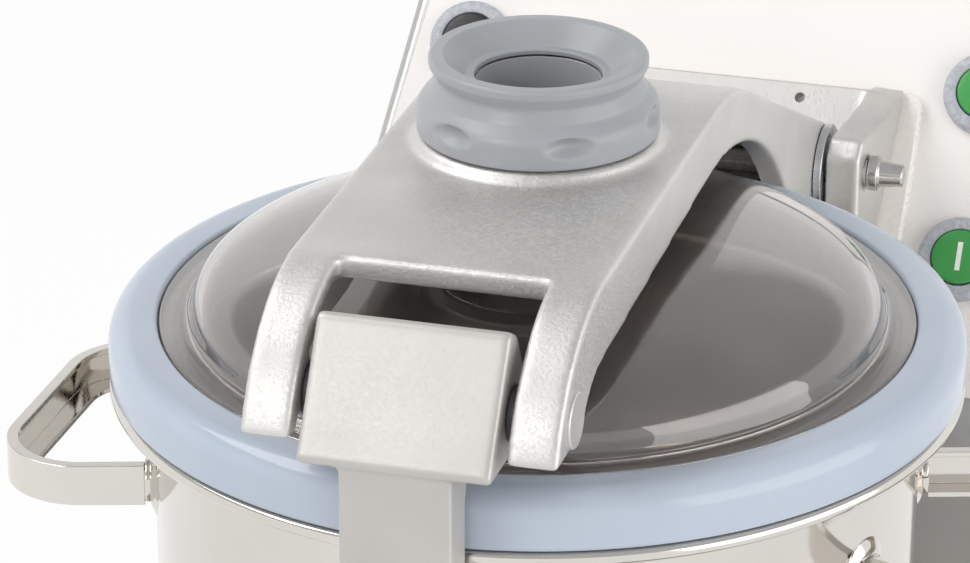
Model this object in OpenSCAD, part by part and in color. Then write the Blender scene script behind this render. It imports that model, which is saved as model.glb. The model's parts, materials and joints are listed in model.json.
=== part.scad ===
/* [Housing] */
// Width of the base housing
body_w = 315; // [290:1:360]
// Distance from the bowl axis to the front of the housing
front_reach = 170; // [160:1:200]
// Distance from the bowl axis to the back of the housing
back_reach = 355; // [345:1:400]
// Height of the deck that carries the bowl
deck_h = 294; // [285:1:330]
// Thickness of the deck
deck_t = 8; // [6:0.5:12]
// Thickness of the housing walls
wall_t = 2.5; // [2:0.1:4]
// Corner radius of the housing seen from above
body_corner_r = 30; // [20:1:45]
// Height of the feet
foot_h = 20; // [15:1:30]
// Diameter of the feet
foot_d = 36; // [28:1:44]
// Thickness of the bottom plate
bottom_t = 2; // [1.5:0.1:4]
// Width of the service opening in the back
service_w = 176; // [150:1:184]
// Height of the rim left above and below the service opening
service_rim = 34; // [28:1:50]
// Thickness of the rear cover
cover_t = 1.5; // [1:0.1:3]
// How far the cable gland stands out at the back
gland_out = 20; // [16:1:30]
// Bore of the cable gland
gland_bore = 10; // [6:0.5:12]

/* [Column] */
// Lean of the control face back from the vertical, in degrees
panel_lean = 38; // [34:0.5:42]
// Height of the column above the lid lip
column_rise = 40; // [30:1:50]
// Half width lost for each unit of height where the column tapers
taper_share = 0.13; // [0.08:0.01:0.2]
// Half width of the column at the height of the hinge
column_half = 129.5; // [126:0.5:135]
// Distance from the hinge axis back to the control face
hinge_to_panel = 51; // [49:0.5:60]
// Thickness of the control panel overlay
overlay_t = 1.5; // [1:0.1:2.5]
// Width of the housing edge left round the overlay
overlay_margin = 5; // [4:0.5:9]
// Width of the backing plate of the hinge bracket
backing_w = 156; // [150:1:160]
// Thickness of the backing plate
backing_t = 7; // [5:0.5:10]

/* [Buttons] */
// Outer diameter of the button rings
ring_d = 32; // [28:0.5:36]
// Height of the button rings
ring_h = 5; // [4:0.5:7]
// Diameter of the button caps
button_d = 21; // [18:0.5:23]
// Travel of the buttons
button_travel = 3; // [2:0.5:3.5]
// Diameter of the button stems
stem_d = 12; // [9:0.5:13]
// Distance of the button columns from the middle
button_x = 101; // [97:0.5:103]
// Distance between the two button rows
button_pitch = 65; // [48:1:68]
// Height of the upper button row above the hinge, along the face
button_rise = 14; // [8:1:20]

/* [Bowl] */
// Outer diameter of the bowl
bowl_d = 257; // [252:1:260]
// Height of the bowl
bowl_h = 174; // [160:1:190]
// Thickness of the bowl sheet
bowl_t = 1.5; // [1.2:0.1:2.5]
// Radius of the bowl's bottom corner
bowl_corner_r = 20; // [14:1:28]
// Outer diameter of the rolled rim
rim_d = 286; // [284:1:290]
// Radius of the rolled rim's bead
bead_r = 2.5; // [2:0.1:3]
// Inner diameter of the central chimney
chimney_bore = 40; // [36:1:42]
// Thickness of the chimney wall
chimney_t = 2; // [1.5:0.1:3]
// Height of the chimney inside the bowl
chimney_h = 96; // [80:1:110]
// Diameter of the seat that centres the bowl
seat_d = 140; // [130:1:150]
// Height of the seat under the bowl
seat_h = 6; // [5:0.5:9]
// Turn of the bowl in its bayonet, in degrees
bowl_turn = 25; // [15:1:30]
// Height of the handles under the lid lip
handle_drop = 62; // [58:0.5:70]
// How far the handles stand out from the bowl
handle_out = 51; // [46:1:58]
// Height of the handle channel
handle_h = 14.5; // [11:0.5:16]
// Depth of the handle channel
handle_w = 9; // [7:0.5:12]
// Width of the lip along the top of the handle channel
handle_lip = 4; // [3:0.5:6]
// Thickness of the handle sheet
handle_t = 2; // [1.5:0.1:3]
// Angle of each handle end from the side of the bowl, in degrees
handle_angle = 18; // [15:0.5:22]
// Angle by which the locked bowl's handles stand off the machine's width, in degrees
handle_skew = 0.75; // [0:0.25:4]
// Middle radius of the handle bends
handle_bend_r = 22; // [18:1:25]

/* [Lid] */
// Height of the seal between bowl rim and lid lip
seal_h = 20; // [19:0.5:22]
// Roundness of the seal's outside
seal_r = 16.5; // [15:0.5:17]
// Diameter of the seal's inner lip
lip_d = 253; // [252:0.5:254]
// Diameter of the lid flange held by the seal
flange_d = 266; // [264:0.5:268]
// Thickness of the lid wall
lid_t = 3.5; // [3:0.1:4]
// Diameter of the dome above the flange
dome_d = 231; // [226:1:236]
// Height of the dome
dome_h = 27.5; // [25:0.5:32]
// Outer diameter of the lid neck
neck_d = 53.4; // [50:0.1:55]
// Inner diameter of the lid neck
feed_d = 42; // [38:0.5:43]
// Outer diameter of the neck collar under the arm
collar_d = 68; // [64:1:76]

/* [Nut] */
// Diameter of the nut's skirt
nut_d = 80; // [76:1:84]
// Height of the nut's skirt
skirt_h = 9.5; // [8:0.5:11]
// Diameter of the nut's waist
waist_d = 67.6; // [65:0.2:69]
// Diameter of the funnel rim
funnel_d = 72.2; // [70:0.2:75]
// Inner diameter of the funnel rim
funnel_in_d = 62.8; // [58:0.2:64]
// Height of the whole nut
nut_h = 26; // [24:0.5:28]
// Number of finger notches
notch_count = 6; // [5:1:8]
// Depth of the finger notches
notch_depth = 3.5; // [2:0.1:4]

/* [Arm] */
// Distance from the bowl axis back to the hinge
hinge_back = 212; // [208:1:220]
// Height of the hinge axis under the lid lip
hinge_drop = 27; // [24:1:30]
// Width of the arm
arm_w = 101; // [98:0.5:104]
// Thickness of the arm's side walls
arm_side_t = 10; // [8:0.5:12]
// Thickness of the arm's top wall
arm_top_t = 8; // [6:0.5:10]
// Height of the arm's top above the lid lip
beam_rise = 61; // [59:0.5:63]
// Height of the boss pad above the arm's top
pad_rise = 4; // [3:0.5:5]
// Diameter of the boss pad
pad_d = 82; // [81:1:90]
// Radius of the bend where the leg leaves the arm's top
knee_r = 100; // [60:5:110]
// Outer radius of the arm's nose
nose_r = 59; // [57:0.5:60]
// Depth of the fork prongs
prong_depth = 27; // [26:0.5:30]
// Width of the fork prongs
prong_w = 16.5; // [15:0.5:18]
// Height of the prong ends above the lid lip
prong_rise = 20; // [17:0.5:22]
// Distance from the bowl axis forward to the nose centre
nose_front = 105; // [103:0.5:107]
// Distance from the bowl axis forward to the window edge
window_front = 110; // [108:0.5:113]
// Radius of the hinge hub
hub_r = 17; // [15:0.5:19]
// Distance from the bowl axis back to where the leg starts
leg_start = 66; // [60:1:72]
// Radius of the arch under the leg
arch_r = 159; // [156:1:162]
// Diameter of the hinge pin
hinge_pin_d = 10; // [8:0.5:12]
// Wall of the hinge bushes
bush_t = 2; // [1.5:0.1:3]
// Thickness of the bracket cheeks
cheek_t = 13; // [10:0.5:15]
// Gap between arm and bracket cheek
cheek_gap = 3.5; // [3:0.1:5]
// Opening angle of the lid arm, in degrees
lid_opening = 80; // [60:1:82]

/* [Lever] */
// Width of the lever's head
lever_head_w = 62; // [58:0.5:65]
// Width of the lever's neck
lever_neck_w = 36; // [30:1:40]
// Diameter of the lever pin
lever_pin_d = 10; // [8:0.5:12]
// Diameter of the lever pin's heads
lever_pin_head_d = 18; // [15:0.5:20]
// Distance from the nose centre to the lever pin
lever_pin_r = 45; // [43:0.5:46]
// Angle of the lever pin round the nose centre, in degrees
lever_pin_angle = 143; // [140:1:146]
// Length of the lever's tail under the lid lip
tail_drop = 96; // [80:1:110]
// Opening angle of the lever, in degrees
lever_opening = 60; // [40:1:65]

/* [Drive] */
// Diameter of the motor
motor_d = 164; // [150:1:170]
// Length of the stator
stator_l = 150; // [130:1:155]
// Diameter of the rotor core
rotor_d = 92; // [80:1:98]
// Thickness of the motor end shields
shield_t = 22; // [20:1:26]
// Diameter of the drive shaft in its bearings
shaft_d = 25; // [22:1:26]
// Outer diameter of the bearings
bearing_d = 52; // [48:1:56]
// Width of the bearings
bearing_w = 15; // [12:1:16]
// Diameter of the shaft where the blades sit
spindle_d = 18; // [16:1:20]
// Outer diameter of the blade hub
hub_d = 56; // [54:1:62]
// Reach of the lower blades from the axis
blade_reach = 108; // [96:1:110]
// Thickness of the blades
blade_t = 3; // [2:0.5:4]
// Height of the upper blades above the lower ones
blade_step = 46; // [36:1:60]

/* [Hidden] */
$fn = 96;

// Clearances
gap = 0.3;
run_gap = 0.05;
over = 1;

// Heights and places along the machine, from the bowl axis
axis_y = (front_reach - back_reach - gland_out) / 2;
seat_top = deck_h + seat_h;
rim_z = seat_top + bowl_h;
lip_z = rim_z + seal_h;
column_top = lip_z + column_rise;
hinge_z = lip_z - hinge_drop;
panel_y = hinge_back + hinge_to_panel;
deck_under = deck_h - deck_t;
bowl_r = bowl_d / 2;
rim_r = rim_d / 2;
body_r = body_w / 2;
nose_turn_y = -front_reach + body_r;

function panel_y_at(z) = panel_y + (z - hinge_z) * tan(panel_lean);
function column_half_at(z) = min(body_r, column_half - (z - hinge_z) * taper_share);
function turn(p, a) = [p[0] * cos(a) - p[1] * sin(a), p[0] * sin(a) + p[1] * cos(a)];

// The frame of the bowl axis, and of the control face at the hinge height
module at_axis(z = 0) { translate([0, axis_y, z]) children(); }
module on_panel(x = 0, up = 0, out = 0) {
    at_axis() translate([0, panel_y, hinge_z]) rotate([90 - panel_lean, 0, 0])
        translate([x, up, out]) children();
}
// A tube along Z, and a rod or tube along X centred on its middle
module tube(outer_d, inner_d, h) {
    difference() {
        cylinder(d = outer_d, h = h);
        translate([0, 0, -over]) cylinder(d = inner_d, h = h + 2 * over);
    }
}
module rod_x(d, x0, x1) { translate([x0, 0, 0]) rotate([0, 90, 0]) cylinder(d = d, h = x1 - x0); }
// A side outline drawn in depth and height, extruded across the width from x0 to x1
module across(x0, x1) {
    translate([x0, 0, 0]) rotate([90, 0, 90]) linear_extrude(x1 - x0) children();
}
module both_sides() { children(); mirror([1, 0, 0]) children(); }

// Housing
module body_plan(inset = 0) {
    r = body_r - inset;
    c = body_corner_r - inset;
    back = back_reach - inset;
    translate([0, nose_turn_y]) circle(r);
    translate([-r, nose_turn_y]) square([2 * r, back - c - nose_turn_y]);
    translate([c - r, nose_turn_y]) square([2 * (r - c), back - nose_turn_y]);
    for (s = [-1, 1]) translate([s * (r - c), back - c]) circle(c);
}
cover_lap = 7;
cover_w = service_w + 2 * cover_lap;
service_z = foot_h + service_rim;
service_top = column_top - service_rim;
wire_hole_w = 150;
wire_hole_edge = 20;
wire_hole_front = panel_y_at(deck_h) + wire_hole_edge;
wire_hole_back = 60;
gland_d = 22;
gland_flange_d = 30;
gland_clear = 1.5;
gland_rise = 40;
gland_x = (cover_w + gland_flange_d) / 2 + gland_clear;
gland_z = foot_h + gland_rise;
nose_wall = 11;
nose_hole_d = shaft_d + 2 * nose_wall;
module service_cut() {
    at_axis() translate([-service_w / 2, back_reach - body_corner_r, service_z])
        cube([service_w, 2 * body_corner_r, service_top - service_z]);
}
module deck_cuts() {
    at_axis(deck_under - over) {
        cylinder(d = nose_hole_d, h = deck_t + 2 * over);
        for (a = [45:90:359]) rotate(a) translate([shield_bolt_r, 0, 0])
            cylinder(d = stud_d, h = deck_t + 2 * over);
        translate([-wire_hole_w / 2, wire_hole_front, 0])
            cube([wire_hole_w, back_reach - wire_hole_back - wire_hole_front, deck_t + 2 * over]);
    }
}
module base_housing() {
    color("#B9BABD") difference() {
        at_axis(foot_h) linear_extrude(deck_h - foot_h) body_plan();
        at_axis(foot_h - over) linear_extrude(deck_under - foot_h + over) body_plan(wall_t);
        deck_cuts();
        service_cut();
        cover_screw_cuts();
        at_axis() translate([gland_x, back_reach - wall_t - over, gland_z]) rotate([-90, 0, 0])
            cylinder(d = gland_d, h = wall_t + 2 * over);
    }
}
plate_play = 0.5;
foot_spread_share = 0.6;
front_foot_y = nose_turn_y - body_r * foot_spread_share;
rear_foot_y = back_reach - foot_d / 2 - body_corner_r;
foot_x = body_r * foot_spread_share;
foot_places = [[-foot_x, front_foot_y], [foot_x, front_foot_y],
    [-foot_x, rear_foot_y], [foot_x, rear_foot_y]];
foot_screw_d = 6;
foot_screw_head_d = 12;
foot_screw_head_h = 4;
module bottom_plate() {
    color("#8C8E90") at_axis(foot_h) difference() {
        linear_extrude(bottom_t) body_plan(wall_t + plate_play);
        for (p = foot_places) translate([p[0], p[1], -over])
            cylinder(d = foot_screw_d, h = bottom_t + 2 * over);
    }
}
module feet() {
    color("#2B2B2D") at_axis() for (p = foot_places) translate([p[0], p[1], 0]) difference() {
        union() {
            cylinder(d = foot_d, h = foot_h / 2);
            translate([0, 0, foot_h / 2]) cylinder(d1 = foot_d, d2 = foot_d * foot_top_share,
                h = foot_h / 2);
        }
        translate([0, 0, foot_h / 2]) cylinder(d = foot_screw_d, h = foot_h);
    }
}
foot_top_share = 0.78;
module foot_screws() {
    color("#9DA0A4") at_axis() for (p = foot_places) translate([p[0], p[1], foot_h / 2]) {
        cylinder(d = foot_screw_d, h = foot_h / 2 + bottom_t);
        translate([0, 0, foot_h / 2 + bottom_t])
            cylinder(d = foot_screw_head_d, h = foot_screw_head_h);
    }
}

// Column
module column_side(inset) {
    top = column_top - inset;
    slant = inset / cos(panel_lean);
    polygon([[panel_y_at(deck_h) + slant, deck_h], [panel_y_at(top) + slant, top],
        [back_reach - inset, top], [back_reach - inset, deck_h]]);
}
module column_front(inset) {
    top = column_top - inset;
    low_half = column_half_at(deck_h) - inset;
    top_half = column_half_at(top) - inset;
    polygon([[low_half, deck_h], [top_half, top], [-top_half, top], [-low_half, deck_h]]);
}
module column_form(inset = 0) {
    intersection() {
        at_axis() across(-body_r, body_r) column_side(inset);
        at_axis() translate([0, back_reach + over, 0]) rotate([90, 0, 0])
            linear_extrude(back_reach + front_reach) column_front(inset);
        at_axis(deck_h) linear_extrude(column_top - deck_h) body_plan(inset);
    }
}
module column_housing() {
    color("#C3C4C7") difference() {
        column_form();
        column_form(wall_t);
        service_cut();
        cover_screw_cuts();
        button_holes(barrel_d + 2 * gap);
    }
}
panel_low = -103;
panel_high_margin = 10;
panel_high = (column_top - hinge_z - panel_high_margin) / cos(panel_lean);
panel_corner_r = 12;
function overlay_half(up) = column_half_at(hinge_z + up * cos(panel_lean)) - overlay_margin;
button_low = button_rise - button_pitch;
button_places = [[-button_x, button_rise], [button_x, button_rise],
    [button_x, button_low], [-button_x, button_low]];
module button_holes(d) {
    for (p = button_places) on_panel(p[0], p[1], -wall_t - over)
        cylinder(d = d, h = wall_t + overlay_t + 2 * over);
}
module control_panel() {
    half = [overlay_half(panel_low), overlay_half(panel_high)];
    color("#F4F2EE") difference() {
        on_panel() linear_extrude(overlay_t)
            polygon([[-half[0] + panel_corner_r, panel_low], [half[0] - panel_corner_r, panel_low],
                [half[0], panel_low + panel_corner_r], [half[1], panel_high - panel_corner_r],
                [half[1] - panel_corner_r, panel_high], [-half[1] + panel_corner_r, panel_high],
                [-half[1], panel_high - panel_corner_r], [-half[0], panel_low + panel_corner_r]]);
        button_holes(barrel_d + 2 * gap);
    }
}
// The backing plate's ends lie along the control face, measured from the hinge height
backing_high = 10;
backing_low = -112;
backing_corner_r = 5;
bracket_low = -92;
bracket_high = 8;
bracket_plate_t = 6;
bracket_screw_d = 8;
bracket_screw_head_d = 13;
bracket_screw_head_h = 5;
cheek_x = arm_w / 2 + cheek_gap;
bracket_half = cheek_x + cheek_t;
bracket_screw_x = cheek_x - bracket_screw_head_d;
bracket_screw_high = -20;
bracket_screw_places = [[-bracket_screw_x, bracket_screw_high],
    [bracket_screw_x, bracket_screw_high],
    [-bracket_screw_x, bracket_low + bracket_screw_head_d],
    [bracket_screw_x, bracket_low + bracket_screw_head_d]];
module screw_holes(d, low, high) {
    for (p = bracket_screw_places) on_panel(p[0], p[1], low) cylinder(d = d, h = high - low);
}
module round_plate(x0, y0, x1, y1, r) {
    translate([x0 + r, y0]) square([x1 - x0 - 2 * r, y1 - y0]);
    translate([x0, y0 + r]) square([x1 - x0, y1 - y0 - 2 * r]);
    for (x = [x0 + r, x1 - r], y = [y0 + r, y1 - r]) translate([x, y]) circle(r);
}
backing_out = overlay_t + backing_t;
module backing_plate() {
    color("#EFE9DC") difference() {
        on_panel(0, 0, overlay_t) linear_extrude(backing_t)
            round_plate(-backing_w / 2, backing_low, backing_w / 2, backing_high, backing_corner_r);
        screw_holes(bracket_screw_d, 0, backing_out + over);
    }
}
// Bracket cheek outline, in depth and height from the hinge axis
cheek_front = 11;
cheek_top = 14.5;
cheek_low = 66;
cheek_flare = 4.5;
// Small blind hole in the bracket's face
gauge_x = 33;
gauge_up = 2;
gauge_d = 4;
module cheek_side() {
    y0 = hinge_to_panel - backing_out / cos(panel_lean);
    slope = tan(panel_lean);
    polygon([[-cheek_front, cheek_top - cheek_front / 2], [-cheek_front / 2, cheek_top],
        [y0 + cheek_top * slope, cheek_top], [y0 - cheek_low * slope, -cheek_low],
        [y0 - cheek_low * slope - cheek_top, -cheek_low + cheek_top / 2],
        [-cheek_front, -cheek_low / 2]]);
}
module hinge_bracket() {
    color("#A6A8AB") difference() {
        union() {
            difference() {
                at_hinge() both_sides() translate([cheek_x, -cheek_front, 0])
                    rotate(-cheek_flare) translate([0, cheek_front, 0]) across(0, cheek_t) cheek_side();
                on_panel(-body_w / 2, -body_w, 0) cube([body_w, 2 * body_w, backing_out]);
            }
            on_panel(0, 0, backing_out) linear_extrude(bracket_plate_t)
                round_plate(-bracket_half, bracket_low, bracket_half, bracket_high,
                    backing_corner_r);
        }
        at_hinge() rod_x(hinge_pin_d + 2 * run_gap, -body_r, body_r);
        screw_holes(bracket_screw_d, backing_out - over, backing_out + bracket_plate_t + over);
        on_panel(gauge_x, gauge_up, backing_out + over) cylinder(d = gauge_d, h = bracket_plate_t);
    }
}
module bracket_screws() {
    color("#C9CBCE") for (p = bracket_screw_places) {
        on_panel(p[0], p[1], overlay_t) cylinder(d = bracket_screw_d, h = backing_t + bracket_plate_t);
        on_panel(p[0], p[1], backing_out + bracket_plate_t) difference() {
            cylinder(d = bracket_screw_head_d, h = bracket_screw_head_h);
            translate([0, 0, bracket_screw_head_h / 2])
                cylinder(d = bracket_screw_head_d / 2, h = bracket_screw_head_h, $fn = 6);
        }
    }
}
module at_hinge() { at_axis() translate([0, hinge_back, hinge_z]) children(); }
pin_play = 1.7;
pin_half = bracket_half + pin_play;
pin_collar_d = 13;
pin_collar_t = 4;
pin_tip = 9;
pin_tip_d = 8;
module hinge_pin() {
    color("#C4C5C7") at_hinge() {
        rod_x(hinge_pin_d, -pin_half, pin_half);
        both_sides() translate([pin_half, 0, 0]) rotate([0, 90, 0]) {
            cylinder(d = pin_collar_d, h = pin_collar_t);
            translate([0, 0, pin_collar_t]) cylinder(d1 = hinge_pin_d, d2 = pin_tip_d, h = pin_tip);
        }
    }
}
module hinge_washers() {
    color("#D4D4D2") at_hinge() both_sides() translate([arm_w / 2 + gap, 0, 0])
        rotate([0, 90, 0]) tube(hub_r * 2 - 4 * gap, hinge_pin_d + 2 * run_gap, cheek_gap - 2 * gap);
}

// Buttons, with their rings and contact blocks
barrel_wall = 3;
barrel_d = stem_d + 2 * barrel_wall;
barrel_l = 16;
ring_floor = 0.8;
cap_play = 0.4;
cap_proud = 1.4;
cap_seat = overlay_t + ring_floor + gap + button_travel;
cap_h = overlay_t + ring_h + cap_proud - cap_seat;
module button_rings() {
    color("#9FA3AC") for (p = button_places) on_panel(p[0], p[1], 0) {
        translate([0, 0, overlay_t]) tube(ring_d, button_d + 2 * cap_play, ring_h);
        translate([0, 0, overlay_t]) tube(ring_d, stem_d + 2 * run_gap, ring_floor);
        translate([0, 0, -barrel_l]) tube(barrel_d, stem_d + 2 * run_gap, barrel_l + overlay_t);
    }
}
module button(i, shade) {
    p = button_places[i];
    color(shade) on_panel(p[0], p[1], 0) {
        translate([0, 0, cap_seat]) cylinder(d = button_d, h = cap_h);
        translate([0, 0, -barrel_l]) cylinder(d = stem_d, h = barrel_l + cap_seat);
    }
}
module pulse_button() { button(0, "#1E1F21"); }
module fast_button() { button(1, "#3F9E4E"); }
module slow_button() { button(2, "#3F9E4E"); }
module stop_button() { button(3, "#B3282B"); }
block_w = 26;
block_l = 20;
module contact_blocks() {
    color("#3A3B3D") for (p = button_places) on_panel(p[0], p[1], 0) difference() {
        translate([-block_w / 2, -block_w / 2, -barrel_l - block_l])
            cube([block_w, block_w, block_l + barrel_l - wall_t]);
        translate([0, 0, -barrel_l - button_travel - gap])
            cylinder(d = barrel_d, h = barrel_l + button_travel + gap);
    }
}

// Rear cover with its vents
vent_count = 12;
vent_w = 110;
vent_h = 5;
vent_pitch = 11;
vent_rise = 110;
cover_screw_d = 5;
cover_screw_head_d = 9;
cover_screw_head_h = 2.5;
cover_screw_x = service_w / 2 + cover_lap / 2;
cover_screw_rise_share = 0.3;
service_mid = (service_z + service_top) / 2;
cover_screw_places = [for (s = [-1, 1], t = [-1, 1])
    [s * cover_screw_x, service_mid + t * (service_top - service_z) * cover_screw_rise_share]];
module cover_screw_cuts() {
    for (p = cover_screw_places) at_back(p[0], p[1]) translate([0, 0, -wall_t - over])
        cylinder(d = cover_screw_d, h = wall_t + cover_t + 2 * over);
}
module at_back(x, z) { at_axis() translate([x, back_reach, z]) rotate([-90, 0, 0]) children(); }
module rear_cover() {
    color("#A9ABAF") difference() {
        at_axis() translate([-cover_w / 2, back_reach, service_z - cover_lap])
            cube([cover_w, cover_t, service_top - service_z + 2 * cover_lap]);
        for (i = [0:vent_count - 1])
            at_axis() translate([-vent_w / 2, back_reach - over, service_z + vent_rise + i * vent_pitch])
                cube([vent_w, cover_t + 2 * over, vent_h]);
        cover_screw_cuts();
    }
}
module cover_screws() {
    color("#C9CBCE") for (p = cover_screw_places) at_back(p[0], p[1]) {
        translate([0, 0, -wall_t]) cylinder(d = cover_screw_d, h = wall_t + cover_t);
        translate([0, 0, cover_t]) cylinder(d = cover_screw_head_d, h = cover_screw_head_h);
    }
}

// Seat that centres the bowl and stops its turn
spigot_d = 34;
spigot_h = 30;
seat_screw_d = 5;
seat_screw_share = 0.36;
seat_screw_r = seat_d * seat_screw_share;
stop_w = 8;
stop_out = 9;
module seat_ring() {
    color("#B4B6B9") at_axis(deck_h) difference() {
        union() {
            cylinder(d = seat_d, h = seat_h - gap);
            cylinder(d = spigot_d, h = seat_h + spigot_h);
        }
        translate([0, 0, -over]) cylinder(d = shaft_d + 2 * over, h = seat_h + spigot_h + 2 * over);
        for (a = [0:120:359]) rotate(a) translate([seat_screw_r, 0, -over])
            cylinder(d = seat_screw_d, h = seat_h + 2 * over);
    }
}
module seat_screws() {
    color("#8E9093") at_axis(deck_h) for (a = [0:120:359]) rotate(a)
        translate([seat_screw_r, 0, 0]) cylinder(d = seat_screw_d, h = seat_h - 2 * gap);
}
foot_ring_t = 6;
foot_ring_in = seat_d + 2 * run_gap;
foot_ring_d = foot_ring_in + 2 * foot_ring_t;
module bowl_stop() {
    color("#8E9093") at_axis(deck_h) rotate(-90) translate([foot_ring_in / 2 + gap, -stop_w / 2, 0])
        cube([stop_out, stop_w, seat_h - 2 * gap]);
}

// Motor
stud_d = 8;
stud_edge = 12;
shield_bolt_r = motor_d / 2 - stud_edge;
stator_top = deck_under - shield_t;
stator_low = stator_top - stator_l;
shield_low = stator_low - shield_t;
air_gap = 0.6;
rotor_short = 12;
stator_bore = rotor_d + 2 * air_gap;
module stud_cuts(z, h) {
    for (a = [45:90:359]) at_axis(z - over) rotate(a) translate([shield_bolt_r, 0, 0])
        cylinder(d = stud_d, h = h + 2 * over);
}
module motor_stator() {
    color("#5C6470") difference() {
        at_axis(stator_low) tube(motor_d, stator_bore, stator_l);
        stud_cuts(stator_low, stator_l);
    }
}
module shield(z, pocket_z) {
    difference() {
        at_axis(z) cylinder(d = motor_d, h = shield_t);
        at_axis(z - over) cylinder(d = shaft_d + 2 * over, h = shield_t + 2 * over);
        at_axis(pocket_z) cylinder(d = bearing_d, h = bearing_w);
        stud_cuts(z, shield_t);
    }
}
module upper_shield() { color("#9A9DA1") shield(stator_top, stator_top); }
module lower_shield() { color("#9A9DA1") shield(shield_low, stator_low - bearing_w); }
module bearing(z) { color("#C8CACC") at_axis(z) tube(bearing_d, shaft_d + 2 * run_gap, bearing_w); }
module upper_bearing() { bearing(stator_top); }
module lower_bearing() { bearing(stator_low - bearing_w); }
nut_af = 13;
stud_nut_h = 6;
module motor_studs() {
    color("#8E9093") for (a = [45:90:359]) at_axis(shield_low) rotate(a)
        translate([shield_bolt_r, 0, 0]) {
            cylinder(d = stud_d, h = deck_h - shield_low);
            translate([0, 0, -stud_nut_h]) cylinder(d = nut_af, h = stud_nut_h, $fn = 6);
        }
}
seal_lip_h = 8;
module shaft_seal() {
    color("#333538") at_axis(deck_under) tube(nose_hole_d, shaft_d + 2 * run_gap, seal_lip_h - gap);
}

// Electrical parts on the chassis plate behind the motor
chassis_gap = 40;
chassis_y = motor_d / 2 + chassis_gap;
chassis_t = 2;
chassis_w = 200;
chassis_rise = 210;
chassis_foot = 24;
chassis_z = foot_h + bottom_t;
contactor_w = 45;
contactor_h = 62;
contactor_d = 60;
contactor_rise = 110;
contactor_z = chassis_z + contactor_rise;
terminal_w = 90;
terminal_h = 30;
terminal_d = 28;
terminal_rise = 40;
terminal_z = chassis_z + terminal_rise;
module chassis_plate() {
    color("#B0B2B5") at_axis() translate([-chassis_w / 2, chassis_y, chassis_z]) {
        cube([chassis_w, chassis_t, chassis_rise]);
        cube([chassis_w, chassis_foot, chassis_t]);
    }
}
module contactors() {
    color("#3D4045") at_axis() for (x = [-contactor_w - over, over])
        translate([x, chassis_y + chassis_t, contactor_z]) cube([contactor_w, contactor_d, contactor_h]);
}
module terminal_block() {
    color("#C7CBB8") at_axis() translate([-terminal_w / 2, chassis_y + chassis_t, terminal_z])
        cube([terminal_w, terminal_d, terminal_h]);
}
gland_flange_t = 6;
gland_in = 8;
module cable_gland() {
    color("#2E2F31") at_back(gland_x, gland_z) difference() {
        union() {
            translate([0, 0, -wall_t - gland_in]) cylinder(d = gland_d - 2 * gap, h = wall_t + gland_in);
            cylinder(d = gland_flange_d, h = gland_flange_t);
            translate([0, 0, gland_flange_t]) cylinder(d = gland_d, h = gland_out - gland_flange_t);
        }
        translate([0, 0, -wall_t - gland_in - over])
            cylinder(d = gland_bore, h = wall_t + gland_in + gland_out + 2 * over);
    }
}
switch_w = 24;
switch_l = 28;
switch_h = 12;
switch_up = -88;
switch_x = 7;
module interlock_switch() {
    color("#A9ADB3") on_panel(switch_x, switch_up, backing_out + bracket_plate_t)
        cube([switch_w, switch_l, switch_h]);
}

// Rotor with the blades
fan_h = 22;
fan_blades = 8;
fan_share = 0.82;
fan_d = motor_d * fan_share;
fan_hub_wall = 8;
fan_hub_d = shaft_d + 2 * fan_hub_wall;
fan_blade_t = 3;
fan_gap = 9;
fan_z = shield_low - fan_h - fan_gap;
shaft_low = fan_z;
spindle_start = 34;
spindle_z = seat_top + spindle_start;
hub_over = 26;
shaft_over = 8;
hub_top = seat_top + chimney_h + hub_over;
shaft_top = hub_top + shaft_over;
module drive_shaft() {
    color("#B5B7BA") at_axis() {
        translate([0, 0, shaft_low]) cylinder(d = shaft_d, h = spindle_z - shaft_low);
        translate([0, 0, spindle_z]) cylinder(d = spindle_d, h = shaft_top - spindle_z);
    }
}
module rotor_core() {
    color("#6D7178") at_axis(stator_low + rotor_short / 2)
        tube(rotor_d, shaft_d, stator_l - rotor_short);
}
module cooling_fan() {
    color("#35373A") at_axis(fan_z) {
        tube(fan_hub_d, shaft_d, fan_h);
        tube(fan_d, shaft_d, fan_blade_t);
        for (i = [0:fan_blades - 1]) rotate(i * 360 / fan_blades)
            translate([fan_hub_d / 2 - over, -fan_blade_t / 2, 0])
                cube([fan_d / 2 - fan_hub_d / 2, fan_blade_t, fan_h]);
    }
}
chimney_d = chimney_bore + 2 * chimney_t;
hub_play = 2.5;
hub_rise = 2;
hub_bore = chimney_d + 2 * hub_play;
hub_low = seat_top + bowl_t + hub_rise;
hub_web = 12;
module blade_hub() {
    color("#9EA1A6") at_axis() difference() {
        translate([0, 0, hub_low]) cylinder(d = hub_d, h = hub_top - hub_low);
        translate([0, 0, hub_low - over])
            cylinder(d = hub_bore, h = hub_top - hub_low - hub_web + over);
        translate([0, 0, hub_low]) cylinder(d = spindle_d, h = hub_top);
    }
}
blade_root = 26;
blade_sweep = 24;
blade_tip_share = 0.96;
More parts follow.
